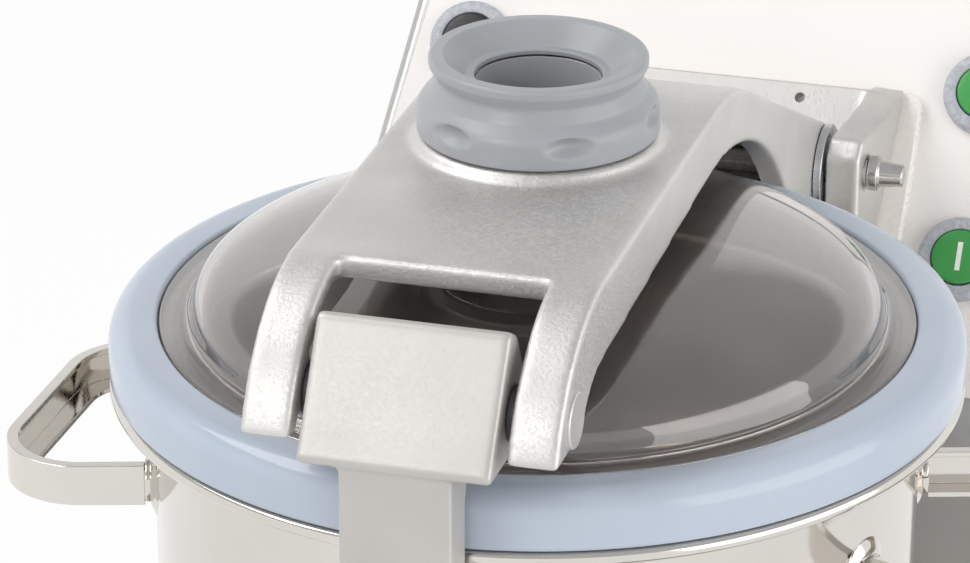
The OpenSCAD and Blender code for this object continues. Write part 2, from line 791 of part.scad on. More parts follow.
// One curved blade: the part of a disc that two offset circles leave
module blade_plan(reach) {
    intersection() {
        circle(reach);
        translate([0, -blade_root / 2]) difference() {
            translate([0, blade_root / 2 - reach / 2]) circle(reach * blade_tip_share);
            translate([0, -blade_sweep - reach / 2]) circle(reach * blade_tip_share);
        }
        translate([0, -reach]) square([reach, 2 * reach]);
    }
}
module blades(z, reach, start) {
    at_axis(z) difference() {
        linear_extrude(blade_t) {
            circle(d = hub_d + blade_root);
            for (a = [0, 180]) rotate(a + start) blade_plan(reach);
        }
        translate([0, 0, -over]) cylinder(d = hub_d, h = blade_t + 2 * over);
    }
}
upper_reach_share = 0.9;
module lower_blade() { color("#D9DBDD") blades(hub_low, blade_reach, 0); }
module upper_blade() {
    color("#D9DBDD") blades(hub_low + blade_step, blade_reach * upper_reach_share, 90);
}
blade_cap_d = 40;
blade_cap_h = 16;
blade_cap_tip_d = 26;
module blade_cap() {
    color("#7E8288") at_axis(hub_top) difference() {
        union() {
            cylinder(d = blade_cap_d, h = blade_cap_h / 2);
            translate([0, 0, blade_cap_h / 2]) cylinder(d1 = blade_cap_d, d2 = blade_cap_tip_d,
                h = blade_cap_h / 2);
        }
        translate([0, 0, -over]) cylinder(d = spindle_d, h = shaft_top - hub_top + over);
    }
}

// Bowl
flare_r = 6;
module quarter_ring(r, t, a) {
    intersection() {
        difference() { circle(r + t); circle(r); }
        rotate(a) square(r + t + over);
    }
}
module bowl_shell() {
    c = bowl_corner_r;
    color("#D5D6D8") at_axis(seat_top) rotate_extrude() {
        translate([chimney_d / 2, 0]) square([bowl_r - c - chimney_d / 2, bowl_t]);
        translate([bowl_r - c, c]) quarter_ring(c - bowl_t, bowl_t, -90);
        translate([bowl_r - bowl_t, c]) square([bowl_t, bowl_h - c - flare_r - bowl_t]);
        translate([bowl_r + flare_r, bowl_h - flare_r - bowl_t]) quarter_ring(flare_r, bowl_t, 90);
        translate([bowl_r + flare_r, bowl_h - bowl_t])
            square([rim_r - bead_r - bowl_r - flare_r, bowl_t]);
        translate([rim_r - bead_r, bowl_h - bead_r]) circle(bead_r);
    }
}
module bowl_chimney() {
    color("#C9CBCE") at_axis(seat_top) tube(chimney_d, chimney_bore, chimney_h);
}
stop_slack = 2;
stop_slot = bowl_turn + 2 * asin(stop_w / foot_ring_in) + stop_slack;
module bowl_foot_ring() {
    color("#B9BBBE") at_axis(deck_h + gap) difference() {
        tube(foot_ring_d, foot_ring_in, seat_h - gap);
        translate([0, 0, -over]) rotate(-90 - bowl_turn / 2 - stop_slot / 2)
            rotate_extrude(angle = stop_slot) translate([foot_ring_in / 2 - over, 0])
                square([foot_ring_t + 2 * over, seat_h + over]);
    }
}
handle_z = lip_z - handle_drop;
boss_d = 22;
boss_t = 2.2;
plate_t = 1.6;
plate_d = 15;
boss_facets = 720;
handle_mid = bowl_r + handle_out - handle_w / 2;
arm_start = bowl_r + boss_t + plate_t;
bend_x = handle_mid - handle_bend_r;
bend_y = (bend_x * sin(handle_angle) - handle_bend_r) / cos(handle_angle);
// The loop's outline seen from above, with its arms run on towards the bowl
module loop_plan(inset = 0) {
    r = handle_bend_r + handle_w / 2 - inset;
    near = arm_start - handle_w;
    side = handle_w / 2 - inset;
    half = [[bend_x + r, bend_y],
        [bend_x - r * sin(handle_angle), bend_y + r * cos(handle_angle)],
        [near * cos(handle_angle) - side * sin(handle_angle),
            near * sin(handle_angle) + side * cos(handle_angle)]];
    for (s = [-1, 1]) translate([bend_x, s * bend_y]) circle(r);
    polygon(concat(half, [for (i = [2:-1:0]) [half[i][0], -half[i][1]]]));
}
// A channel bent round the loop, open to the inside, with a narrow lip along its top
module handle() {
    translate([0, 0, handle_z - handle_h / 2]) difference() {
        linear_extrude(handle_h) difference() { loop_plan(); loop_plan(handle_w); }
        translate([0, 0, handle_t]) linear_extrude(handle_h - 2 * handle_t) loop_plan(handle_t);
        translate([0, 0, handle_h / 2]) linear_extrude(handle_h) loop_plan(handle_lip);
        for (s = [-1, 1]) rotate(s * handle_angle)
            translate([arm_start - 2 * handle_w, -handle_w, -over])
                cube([2 * handle_w, 2 * handle_w, handle_h + 2 * over]);
    }
}
module at_skew() { at_axis() rotate(-handle_skew) children(); }
module right_handle() { color("#CFD0D2") at_skew() handle(); }
module left_handle() { color("#CFD0D2") at_skew() mirror([1, 0, 0]) handle(); }
// The boss and the flange plate at each handle end
module handle_plates() {
    color("#C5C6C8") at_skew() both_sides() for (a = [-handle_angle, handle_angle])
        translate([0, 0, handle_z]) rotate(a) {
            difference() {
                rod_x(boss_d, bowl_r - over, bowl_r + boss_t);
                translate([0, 0, -boss_d]) cylinder(r = bowl_r, h = 2 * boss_d, $fn = boss_facets);
            }
            rod_x(plate_d, bowl_r + boss_t, arm_start);
        }
}

// Lid arm, drawn in depth and height from the bowl axis and the lid lip
nose_z = beam_rise - nose_r;
arch_y = 36;
arch_z = -119;
hub_y = hinge_back;
hub_z = -hinge_drop;
prong_in_r = nose_r - prong_depth;
leg_dy = hub_y - leg_start;
leg_dz = beam_rise - hub_z;
leg_len = sqrt(leg_dy * leg_dy + leg_dz * leg_dz);
// Angle at which the leg's top line touches the hub
hub_touch = 180 - atan2(leg_dz, leg_dy) - acos(hub_r / leg_len);
knee_turn = 90 - hub_touch;
knee_reach = knee_r * tan(knee_turn / 2);
far = 400;
boss_h = 20;
function knee_point(a, r) =
    [leg_start - knee_reach + r * sin(a), beam_rise - knee_r + r * cos(a)];
module arm_outline(inset = 0) {
    r = hub_r - inset;
    top = beam_rise - inset;
    union() {
        intersection() {
            translate([-nose_front, nose_z]) circle(nose_r - inset);
            translate([-nose_front - nose_r, prong_rise]) square([nose_r, nose_r]);
        }
        polygon([[-nose_front, prong_rise], [-nose_front, top],
            each [for (a = [0:knee_turn / 6:knee_turn]) knee_point(a, knee_r - inset)],
            [hub_y + r * cos(hub_touch), hub_z + r * sin(hub_touch)],
            [hub_y, hub_z], [hub_y, hub_z - r], [arch_y, hub_z - r], [arch_y, prong_rise]]);
        translate([hub_y, hub_z]) circle(r);
    }
}
module arm_hollow() {
    translate([arch_y, arch_z]) circle(arch_r);
    polygon([[arch_y, arch_z + arch_r], [-nose_front, nose_z + prong_in_r],
        [-nose_front, -far], [arch_y, -far]]);
    intersection() {
        translate([-nose_front, nose_z]) circle(prong_in_r);
        translate([-nose_front - nose_r, -far]) square([nose_r, 2 * far]);
    }
}
fork_half = arm_w / 2 - prong_w;
lever_pin_y = -nose_front + lever_pin_r * cos(lever_pin_angle);
lever_pin_z = nose_z + lever_pin_r * sin(lever_pin_angle);
boss_low = beam_rise + pad_rise - boss_h;
pin_head_sink = 3;
module at_lip() { translate([0, axis_y, lip_z]) children(); }
module at_lever_pin() { at_lip() translate([0, lever_pin_y, lever_pin_z]) children(); }
bush_d = hinge_pin_d + 2 * bush_t;
bush_in = 10;
bush_l = arm_side_t + bush_in;
module arm_casting() {
    inner_half = arm_w / 2 - arm_side_t;
    color("#C9C8C6") difference() {
        at_lip() union() {
            difference() {
                across(-arm_w / 2, arm_w / 2) difference() { arm_outline(); arm_hollow(); }
                across(-inner_half, inner_half) arm_outline(arm_top_t);
                translate([-fork_half, -nose_front - nose_r - over, -far / 2])
                    cube([2 * fork_half, nose_front + nose_r - window_front + over, far]);
            }
            translate([0, 0, boss_low]) cylinder(d = pad_d, h = beam_rise + pad_rise - boss_low);
            both_sides() translate([0, hub_y, hub_z]) rod_x(2 * hub_r, arm_w / 2 - bush_l, arm_w / 2);
        }
        at_lip() translate([0, 0, boss_low - over])
            cylinder(d = neck_d + 2 * run_gap, h = boss_h + 2 * over);
        at_hinge() rod_x(bush_d, -arm_w, arm_w);
        at_lever_pin() rod_x(lever_pin_d, -arm_w, arm_w);
        at_lever_pin() both_sides() rod_x(lever_pin_head_d, arm_w / 2 - pin_head_sink, arm_w);
    }
}
module hinge_bushes() {
    color("#B08D57") at_hinge() both_sides() translate([arm_w / 2 - bush_l, 0, 0])
        rotate([0, 90, 0]) tube(bush_d, hinge_pin_d + 2 * run_gap, bush_l);
}
pin_head_out = 1;
module lever_pin() {
    color("#BFC0C2") at_lever_pin() {
        rod_x(lever_pin_d, -arm_w / 2, arm_w / 2);
        both_sides() rod_x(lever_pin_head_d, arm_w / 2 - pin_head_sink, arm_w / 2 + pin_head_out);
    }
}
magnet_t = 8;
magnet_d = 12;
magnet_front = 26;
magnet_low = 2;
module interlock_magnet() {
    x = arm_w / 2 - arm_side_t;
    color("#5B6068") at_hinge() translate([0, -magnet_front, -magnet_low])
        rod_x(magnet_d, x - magnet_t, x);
}

// Lid dome: flange with a raised land, dome by a superellipse, collar and neck
flange_drop = 4;
flange_z = -lid_t - flange_drop;
land_drop = 0.6;
dome_z = -land_drop;
dome_power = 0.72;
dome_steps = 20;
function dome_point(r, h, z, a) = [r * pow(cos(a), dome_power), z + h * pow(sin(a), dome_power)];
collar_top = boss_low;
funnel_drop = 7;
ledge_t = 1.8;
nut_low = beam_rise + pad_rise + gap;
neck_top = nut_low + nut_h - funnel_drop - ledge_t - gap;
module lid_dome() {
    r = dome_d / 2;
    inner = [for (i = [0:dome_steps]) let (p = dome_point(r - lid_t, dome_h - lid_t,
        dome_z, 90 * i / dome_steps)) [max(p[0], feed_d / 2), p[1]]];
    outer = [for (i = [0:dome_steps]) let (p = dome_point(r, dome_h, dome_z,
        90 * i / dome_steps)) [max(p[0], feed_d / 2), p[1]]];
    color("#5B5A66", 0.6) at_lip() difference() {
        union() {
            rotate_extrude() difference() {
                polygon(concat([[feed_d / 2, flange_z], [r, flange_z]], outer));
                polygon(concat([[feed_d / 2, flange_z - over], [r - lid_t, flange_z - over]], inner));
            }
            translate([0, 0, flange_z]) tube(flange_d, dome_d - lid_t, lid_t);
            translate([0, 0, flange_z]) tube(lip_d - 2 * gap, dome_d - lid_t, dome_z - flange_z);
            translate([0, 0, dome_z + dome_h - lid_t])
                cylinder(d = collar_d, h = collar_top - dome_z - dome_h + lid_t);
            translate([0, 0, collar_top]) cylinder(d = neck_d, h = neck_top - collar_top);
        }
        translate([0, 0, flange_z - over]) cylinder(d = feed_d, h = far);
    }
}
seal_in_d = 242;
module lid_seal() {
    c = lip_d / 2;
    color("#BEC7D3") at_lip() rotate_extrude() difference() {
        union() {
            intersection() {
                translate([c, -seal_r]) circle(seal_r);
                translate([c, -seal_r]) square(seal_r + over);
            }
            translate([seal_in_d / 2, gap - seal_h])
                square([c + seal_r - seal_in_d / 2, seal_h - seal_r - gap]);
            translate([seal_in_d / 2, -seal_r - over])
                square([c - seal_in_d / 2 + over, seal_r + flange_z + over]);
        }
        translate([0, flange_z]) square([flange_d / 2, lid_t]);
    }
}

// Nut that clamps the lid to the arm
funnel_floor = nut_h - funnel_drop;
notch_r = 14;
waist_share = 0.72;
module lid_nut() {
    waist_z = nut_h * waist_share;
    lift = neck_top - nut_low + gap;
    color("#9EA0A5") at_lip() translate([0, 0, nut_low]) difference() {
        rotate_extrude() polygon([[neck_d / 2 + gap, 0], [nut_d / 2, 0], [nut_d / 2, skirt_h],
            [nut_d / 2 - notch_depth / 2, skirt_h + notch_depth / 2], [waist_d / 2, waist_z],
            [funnel_d / 2, nut_h - notch_depth / 2], [funnel_d / 2, nut_h],
            [funnel_in_d / 2, nut_h], [funnel_in_d / 2 - notch_depth / 2, nut_h - notch_depth / 2],
            [feed_d / 2, funnel_floor], [feed_d / 2, lift], [neck_d / 2 + gap, lift]]);
        for (i = [0:notch_count - 1]) rotate(i * 360 / notch_count)
            translate([nut_d / 2 + notch_r - notch_depth, 0, skirt_h / 2]) sphere(notch_r);
    }
}

// Locking lever: the head's outline is in shares of its size from the pin
lever_head_size = 27;
head_share = [[0, 1], [-0.07, 0.97], [-0.7, -0.07], [-0.93, -0.42], [-0.92, -0.5],
    [-0.82, -0.54], [0, -0.54], [0.41, -0.3], [0.48, 0.41], [0.26, 0.85]];
neck_t = 16.5;
neck_clear = 4.5;
neck_top_rise = 18;
neck_shoulder = 15;
neck_bend_drop = 70;
tail_flare = 4.5;
tail_t = 11;
hook_in = 8;
hook_nose = 2;
hook_h = 8;
hook_top = -seal_h - 2 * bead_r - gap;
lever_back = -rim_r - neck_clear;
lever_front = lever_back - neck_t;
module lever_head_side() {
    translate([lever_pin_y, lever_pin_z]) polygon([for (p = head_share) lever_head_size * p]);
}
module lever_neck_side() {
    polygon([[lever_front, neck_top_rise], [lever_front, -neck_bend_drop],
        [lever_front - tail_flare, -tail_drop], [lever_front - tail_flare + tail_t, -tail_drop],
        [lever_back, -neck_bend_drop], [lever_back, hook_top - hook_h],
        [lever_back + hook_in, hook_top - hook_h], [lever_back + hook_in + hook_nose, hook_top],
        [lever_back, hook_top], [lever_back, 0], [lever_pin_y, neck_shoulder],
        [lever_pin_y, neck_top_rise]]);
}
module lock_lever() {
    color("#DCDAD8") difference() {
        at_lip() {
            across(-lever_head_w / 2, lever_head_w / 2) lever_head_side();
            across(-lever_neck_w / 2, lever_neck_w / 2) lever_neck_side();
        }
        at_lever_pin() rod_x(lever_pin_d + 2 * run_gap, -arm_w, arm_w);
    }
}
module lever_washers() {
    x = lever_head_w / 2 + gap;
    color("#C9CBCE") at_lever_pin() both_sides() translate([x, 0, 0]) rotate([0, 90, 0])
        tube(lever_pin_head_d, lever_pin_d + 2 * run_gap, fork_half - x - gap);
}

base_housing();
bottom_plate();
feet();
foot_screws();
column_housing();
control_panel();
backing_plate();
hinge_bracket();
bracket_screws();
hinge_pin();
hinge_washers();
button_rings();
contact_blocks();
rear_cover();
cover_screws();
seat_ring();
seat_screws();
bowl_stop();
motor_stator();
upper_shield();
lower_shield();
upper_bearing();
lower_bearing();
motor_studs();
shaft_seal();
chassis_plate();
contactors();
terminal_block();
cable_gland();
interlock_switch();
drive_shaft();
rotor_core();
cooling_fan();
blade_hub();
lower_blade();
upper_blade();
blade_cap();
bowl_shell();
bowl_chimney();
bowl_foot_ring();
left_handle();
right_handle();
handle_plates();
arm_casting();
lid_dome();
lid_seal();
hinge_bushes();
lever_pin();
interlock_magnet();
lid_nut();
lock_lever();
lever_washers();
pulse_button();
fast_button();
slow_button();
stop_button();
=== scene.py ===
import json
import math
import bmesh
import bpy
from mathutils import Matrix, Vector


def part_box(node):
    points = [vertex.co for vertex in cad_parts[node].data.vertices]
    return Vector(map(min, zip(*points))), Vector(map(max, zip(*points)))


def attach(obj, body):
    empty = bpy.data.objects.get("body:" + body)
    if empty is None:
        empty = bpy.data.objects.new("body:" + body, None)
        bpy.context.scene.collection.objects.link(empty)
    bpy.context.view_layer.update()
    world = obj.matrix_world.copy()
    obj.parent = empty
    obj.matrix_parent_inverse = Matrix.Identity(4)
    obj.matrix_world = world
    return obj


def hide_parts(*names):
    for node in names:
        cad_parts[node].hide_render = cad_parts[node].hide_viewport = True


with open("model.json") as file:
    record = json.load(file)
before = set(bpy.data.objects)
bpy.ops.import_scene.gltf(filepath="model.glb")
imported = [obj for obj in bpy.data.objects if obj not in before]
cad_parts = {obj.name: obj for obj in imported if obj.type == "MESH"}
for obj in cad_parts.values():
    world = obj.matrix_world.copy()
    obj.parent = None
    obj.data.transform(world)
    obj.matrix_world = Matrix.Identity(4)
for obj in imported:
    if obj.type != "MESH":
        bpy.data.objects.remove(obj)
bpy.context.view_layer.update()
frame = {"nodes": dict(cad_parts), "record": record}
mm = 0.001
bodyOf = {name: body for body, names in frame["record"]["behaviour"]["bodies"].items()
          for name in names}
slotOf = {part["node"]: part["material_slot"] for part in frame["record"]["subparts"]}


def middle(node):
    low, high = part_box(node)
    return (low + high) / 2


# The places that everything is measured from: the bowl axis, the lid lip and the hinge
axisY = middle("lid_seal").y
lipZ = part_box("lid_seal")[1].z
lip = Vector((0, axisY, lipZ))
hinge = Vector((0, middle("hinge_pin").y, middle("hinge_pin").z))
leverPin = Vector((0, middle("lever_pin").y, middle("lever_pin").z))
panel = {"lean": 38, "behindHinge": 51}
lean = math.radians(panel["lean"])
panelFrame = Matrix(((1, 0, 0, 0),
                     (0, math.sin(lean), -math.cos(lean), hinge.y + panel["behindHinge"] * mm),
                     (0, math.cos(lean), math.sin(lean), hinge.z),
                     (0, 0, 0, 1)))
print("frame loaded:", len(frame["nodes"]), "nodes")


def toLinear(hexColour):
    parts = [int(hexColour[i:i + 2], 16) / 255 for i in (1, 3, 5)]
    return [c / 12.92 if c <= 0.04045 else ((c + 0.055) / 1.055) ** 2.4 for c in parts] + [1]


def addNode(tree, kind, settings=None, links=None):
    node = tree.nodes.new("ShaderNode" + kind)
    for name, value in (settings or {}).items():
        if isinstance(name, int) or name in node.inputs:
            node.inputs[name].default_value = value
        else:
            setattr(node, name, value)
    for name, source in (links or {}).items():
        tree.links.new(source, node.inputs[name])
    return node


def newMaterial(name, sockets):
    material = bpy.data.materials.new(name)
    material.use_nodes = True
    tree = material.node_tree
    shader = tree.nodes["Principled BSDF"]
    for socket, value in sockets.items():
        shader.inputs[socket].default_value = value
    return material, tree, shader


# What every opaque material shares: two colours that drift into each other with the cloud,
# and a roughness and a relief that follow the grain
def finishSurface(tree, shader, look, grain, cloud, grainSpan):
    drift = addNode(tree, "MapRange", {"From Min": 0.35, "From Max": 0.65}, {"Value": cloud})
    tint = addNode(tree, "Mix", {"data_type": "RGBA", 6: toLinear(look["colour"]),
                                 7: toLinear(look["second"])}, {0: drift.outputs[0]})
    tree.links.new(tint.outputs[2], shader.inputs["Base Color"])
    low, high = look["roughness"]
    spread = addNode(tree, "MapRange", {"From Min": grainSpan[0], "From Max": grainSpan[1],
                                        "To Min": low, "To Max": high}, {"Value": grain})
    tree.links.new(spread.outputs[0], shader.inputs["Roughness"])
    bump = addNode(tree, "Bump", {"Strength": look["bump"], "Distance": look["depthMm"] * mm},
                   {"Height": grain})
    tree.links.new(bump.outputs[0], shader.inputs["Normal"])


# Metal whose surface was worked, with a grain drawn in millimetres along each axis
def workedMetal(name, look):
    material, tree, shader = newMaterial(name, {"Metallic": look.get("metallic", 1.0)})
    place = addNode(tree, "TexCoord").outputs["Object"]
    grainSize = addNode(tree, "Mapping", {"Scale": [1 / (s * mm) for s in look["grainMm"]]},
                        {"Vector": place})
    grain = addNode(tree, "TexNoise", {"Scale": 1.0, "Detail": 4.0, "Roughness": 0.65},
                    {"Vector": grainSize.outputs[0]}).outputs["Fac"]
    cloud = addNode(tree, "TexNoise", {"Scale": 1 / (look["cloudMm"] * mm), "Detail": 3.0},
                    {"Vector": place}).outputs["Fac"]
    finishSurface(tree, shader, look, grain, cloud, (0.3, 0.7))
    return material


# Moulded plastic or rubber, or a lacquer, with the fine texture of its mould
def moulded(name, look):
    material, tree, shader = newMaterial(name, {})
    place = addNode(tree, "TexCoord").outputs["Object"]
    grain = addNode(tree, "TexNoise", {"Scale": 1 / (look["grainMm"] * mm), "Detail": 3.0},
                    {"Vector": place}).outputs["Fac"]
    cloud = addNode(tree, "TexNoise", {"Scale": 1 / (look["cloudMm"] * mm), "Detail": 2.0},
                    {"Vector": place}).outputs["Fac"]
    finishSurface(tree, shader, look, grain, cloud, (0.35, 0.65))
    return material


# Stainless sheet, brushed along the width: the eye sees long pale streaks
brushedStainless = workedMetal("brushedStainless", {
    "colour": "#C6C6C5", "second": "#BDBDBC", "roughness": (0.28, 0.42),
    "grainMm": (60, 60, 0.7), "cloudMm": 90, "bump": 0.25, "depthMm": 0.02})
# Plain stainless sheet as it comes from the mill: a soft grey without direction
millSheet = workedMetal("millSheet", {
    "colour": "#B4B6B8", "second": "#A9ABAE", "roughness": (0.36, 0.5),
    "grainMm": (30, 30, 0.9), "cloudMm": 60, "bump": 0.2, "depthMm": 0.02})
# Stainless steel, deep drawn and mirror polished: faint round polishing marks only
polishedStainless = workedMetal("polishedStainless", {
    "colour": "#DEDAD4", "second": "#D6D2CC", "roughness": (0.07, 0.13),
    "grainMm": (26, 26, 1.2), "cloudMm": 70, "bump": 0.06, "depthMm": 0.02})
# Aluminium, sand cast and bead blasted: matt, with the fine sparkle of the beads. A bead's
# mark is near 0.1 mm and is drawn at 1.2 mm, so that it shows
castAluminium = workedMetal("castAluminium", {
    "colour": "#DEDCDA", "second": "#D3D1CF", "roughness": (0.3, 0.6), "metallic": 0.85,
    "grainMm": (1.2, 1.2, 1.2), "cloudMm": 45, "bump": 0.9, "depthMm": 0.14})
# Zinc alloy, die cast, tumbled and satin lacquered: warm, even, with a soft sheen
tumbledCasting = workedMetal("tumbledCasting", {
    "colour": "#C6C3C0", "second": "#C1BEBB", "roughness": (0.42, 0.52), "metallic": 0.6,
    "grainMm": (0.9, 0.9, 0.9), "cloudMm": 30, "bump": 0.12, "depthMm": 0.03})
# Steel bar, turned on a lathe: bright rings round the bar
turnedSteel = workedMetal("turnedSteel", {
    "colour": "#CBC9C6", "second": "#BEBCB9", "roughness": (0.16, 0.3),
    "grainMm": (0.6, 9, 9), "cloudMm": 12, "bump": 0.25, "depthMm": 0.02})
# Machine screws, zinc plated: bright with a cool cast
platedSteel = workedMetal("platedSteel", {
    "colour": "#C5C8CB", "second": "#B4B8BD", "roughness": (0.2, 0.34),
    "grainMm": (2, 2, 2), "cloudMm": 9, "bump": 0.15, "depthMm": 0.02})
# Hardened knife steel, ground across the blade: fine straight grinding lines
groundSteel = workedMetal("groundSteel", {
    "colour": "#D2D4D6", "second": "#C6C8CB", "roughness": (0.14, 0.26),
    "grainMm": (0.8, 14, 14), "cloudMm": 30, "bump": 0.2, "depthMm": 0.015})
# Sintered bearing bronze: brown gold with open pores
sinteredBronze = workedMetal("sinteredBronze", {
    "colour": "#B08D57", "second": "#99764A", "roughness": (0.3, 0.45),
    "grainMm": (0.6, 0.6, 0.6), "cloudMm": 8, "bump": 0.3, "depthMm": 0.03})
# Stacked motor laminations under varnish: 0.5 mm sheets, drawn at 1 mm, show as thin lines
laminatedIron = workedMetal("laminatedIron", {
    "colour": "#5C6470", "second": "#4C535D", "roughness": (0.4, 0.6), "metallic": 0.6,
    "grainMm": (80, 80, 1.0), "cloudMm": 30, "bump": 0.5, "depthMm": 0.1})
# Aluminium die casting as it leaves the mould: dull grey with flow marks
dieCastAluminium = workedMetal("dieCastAluminium", {
    "colour": "#9FA2A6", "second": "#8E9195", "roughness": (0.42, 0.58),
    "grainMm": (1.2, 1.2, 1.2), "cloudMm": 25, "bump": 0.25, "depthMm": 0.04})
# Pressed ferrite magnet: dark grey, stony, faintly metallic
ferrite = workedMetal("ferrite", {
    "colour": "#4E5258", "second": "#43474D", "roughness": (0.45, 0.6), "metallic": 0.3,
    "grainMm": (0.8, 0.8, 0.8), "cloudMm": 6, "bump": 0.2, "depthMm": 0.03})

# Glass-filled polyamide, injection moulded: cool mid grey, silky, with a fine mould texture
greyPolyamide = moulded("greyPolyamide", {
    "colour": "#A1A3A8", "second": "#9B9DA2", "roughness": (0.3, 0.4), "grainMm": 0.8,
    "cloudMm": 25, "bump": 0.12, "depthMm": 0.03})
# Silicone rubber, compression moulded and glossy: pale blue grey, with a wet highlight
sealSilicone = moulded("sealSilicone", {
    "colour": "#B6C0CE", "second": "#B0BBCA", "roughness": (0.12, 0.17), "grainMm": 4,
    "cloudMm": 60, "bump": 0.05, "depthMm": 0.04})
# Acetal, moulded with a silver fleck: light grey and mottled
fleckedAcetal = moulded("fleckedAcetal", {
    "colour": "#BFC1C8", "second": "#A9ACB5", "roughness": (0.35, 0.5), "grainMm": 0.9,
    "cloudMm": 1.6, "bump": 0.25, "depthMm": 0.04})
# ABS button caps, moulded and buffed: saturated, glossy, nearly flat
buttonSurface = {"roughness": (0.28, 0.38), "grainMm": 1.2, "cloudMm": 14, "bump": 0.06,
                 "depthMm": 0.03}
greenCap = moulded("greenCap", {"colour": "#3FA04F", "second": "#3A9A4A", **buttonSurface})
redCap = moulded("redCap", {"colour": "#B5292C", "second": "#AD2528", **buttonSurface})
blackCap = moulded("blackCap", {"colour": "#232427", "second": "#1D1E20", **buttonSurface})
# Pad-printed marks: matt white ink, a little thicker at its middle
whiteInk = moulded("whiteInk", {
    "colour": "#F6F6F3", "second": "#EFEFEC", "roughness": (0.4, 0.5), "grainMm": 0.9,
    "cloudMm": 5, "bump": 0.1, "depthMm": 0.02})
# Polyester front film, screen printed from behind: white, satin, with a fine pebble
printedFilm = moulded("printedFilm", {
    "colour": "#F3F0EE", "second": "#F0EDEB", "roughness": (0.34, 0.44), "grainMm": 0.8,
    "cloudMm": 80, "bump": 0.1, "depthMm": 0.02})
# Sheet lacquered in a baked cream enamel: smooth, with a slight orange peel
creamEnamel = moulded("creamEnamel", {
    "colour": "#EFEBE6", "second": "#ECE7E1", "roughness": (0.24, 0.32), "grainMm": 3,
    "cloudMm": 50, "bump": 0.12, "depthMm": 0.04})
# Nitrile rubber, moulded: near black and dusty on its edges
nitrileRubber = moulded("nitrileRubber", {
    "colour": "#2A2A2C", "second": "#333335", "roughness": (0.55, 0.7), "grainMm": 1,
    "cloudMm": 12, "bump": 0.3, "depthMm": 0.05})
# Thermoset for switchgear, pressed: dark grey, dry, with a fine grain
darkThermoset = moulded("darkThermoset", {
    "colour": "#3A3B3E", "second": "#424347", "roughness": (0.42, 0.55), "grainMm": 0.8,
    "cloudMm": 10, "bump": 0.25, "depthMm": 0.04})


# Tinted polycarbonate, injection moulded and hard coated: clear, smoky, with a hard shine. The haze
# of many washes greys it a little, more in some places than in others
def smokyPolycarbonate():
    look = {"tint": "#C9C0BB", "ior": 1.585, "coatIor": 1.6, "washMm": 40, "clear": (0.86, 0.9),
            "roughness": (0.015, 0.035)}
    material, tree, shader = newMaterial("smokyPolycarbonate", {
        "Base Color": toLinear(look["tint"]), "IOR": look["ior"], "Coat Weight": 1.0,
        "Coat IOR": look["coatIor"], "Coat Roughness": 0.02})
    place = addNode(tree, "TexCoord").outputs["Object"]
    wash = addNode(tree, "TexNoise", {"Scale": 1 / (look["washMm"] * mm), "Detail": 3.0},
                   {"Vector": place})
    for socket, span in (("Transmission Weight", "clear"), ("Roughness", "roughness")):
        spread = addNode(tree, "MapRange", {
            "From Min": 0.35, "From Max": 0.65, "To Min": look[span][0],
            "To Max": look[span][1]}, {"Value": wash.outputs["Fac"]})
        tree.links.new(spread.outputs[0], shader.inputs[socket])
    return material


lidPolycarbonate = smokyPolycarbonate()
print("materials made")

materialOf = {
    "housing_steel": brushedStainless, "sheet_steel": millSheet, "fasteners": platedSteel,
    "panel_film": printedFilm, "cream_plate": creamEnamel, "cast_aluminium": castAluminium,
    "lever_casting": tumbledCasting, "polished_steel": polishedStainless,
    "turned_steel": turnedSteel, "blade_steel": groundSteel, "black_rubber": nitrileRubber,
    "seal_silicone": sealSilicone, "smoky_polycarbonate": lidPolycarbonate,
    "grey_plastic": greyPolyamide, "ring_plastic": fleckedAcetal, "black_cap": blackCap,
    "green_cap": greenCap, "red_cap": redCap, "bronze": sinteredBronze,
    "motor_iron": laminatedIron, "motor_alloy": dieCastAluminium,
    "electrical_plastic": darkThermoset, "magnet": ferrite}


def newPiece(name, mesh):
    piece = bpy.data.objects.new(name, mesh)
    bpy.context.scene.collection.objects.link(piece)
    return piece


# Gives a piece its material, chosen by its node's slot, and its body, and hides the solid that it
# stands for
def dress(piece, node, material=None, replace=True):
    piece.data.materials.clear()
    piece.data.materials.append(material or materialOf[slotOf[node]])
    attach(piece, bodyOf[node])
    if replace:
        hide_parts(node)
    return piece


def shadeSmooth(mesh, angle):
    mesh.polygons.foreach_set("use_smooth", [True] * len(mesh.polygons))
    mesh.set_sharp_from_angle(angle=math.radians(angle))


# Applies what stands on a piece, so that its mesh is final
def settle(piece, angle=40):
    evaluated = piece.evaluated_get(bpy.context.evaluated_depsgraph_get())
    mesh = bpy.data.meshes.new_from_object(evaluated)
    piece.modifiers.clear()
    old = piece.data
    piece.data = mesh
    bpy.data.meshes.remove(old)
    shadeSmooth(mesh, angle)
    return piece


# A copy of a node's solid with its flat faces whole again
def cleanCopy(node, flat=1.0):
    shape = bmesh.new()
    shape.from_mesh(frame["nodes"][node].data)
    bmesh.ops.remove_doubles(shape, verts=shape.verts, dist=0.002 * mm)
    bmesh.ops.dissolve_limit(shape, angle_limit=math.radians(flat), verts=shape.verts,
                             edges=shape.edges)
    return shape


def pieceFrom(shape, name):
    mesh = bpy.data.meshes.new(name)
    bmesh.ops.recalc_face_normals(shape, faces=shape.faces)
    shape.to_mesh(mesh)
    shape.free()
    return newPiece(name, mesh)


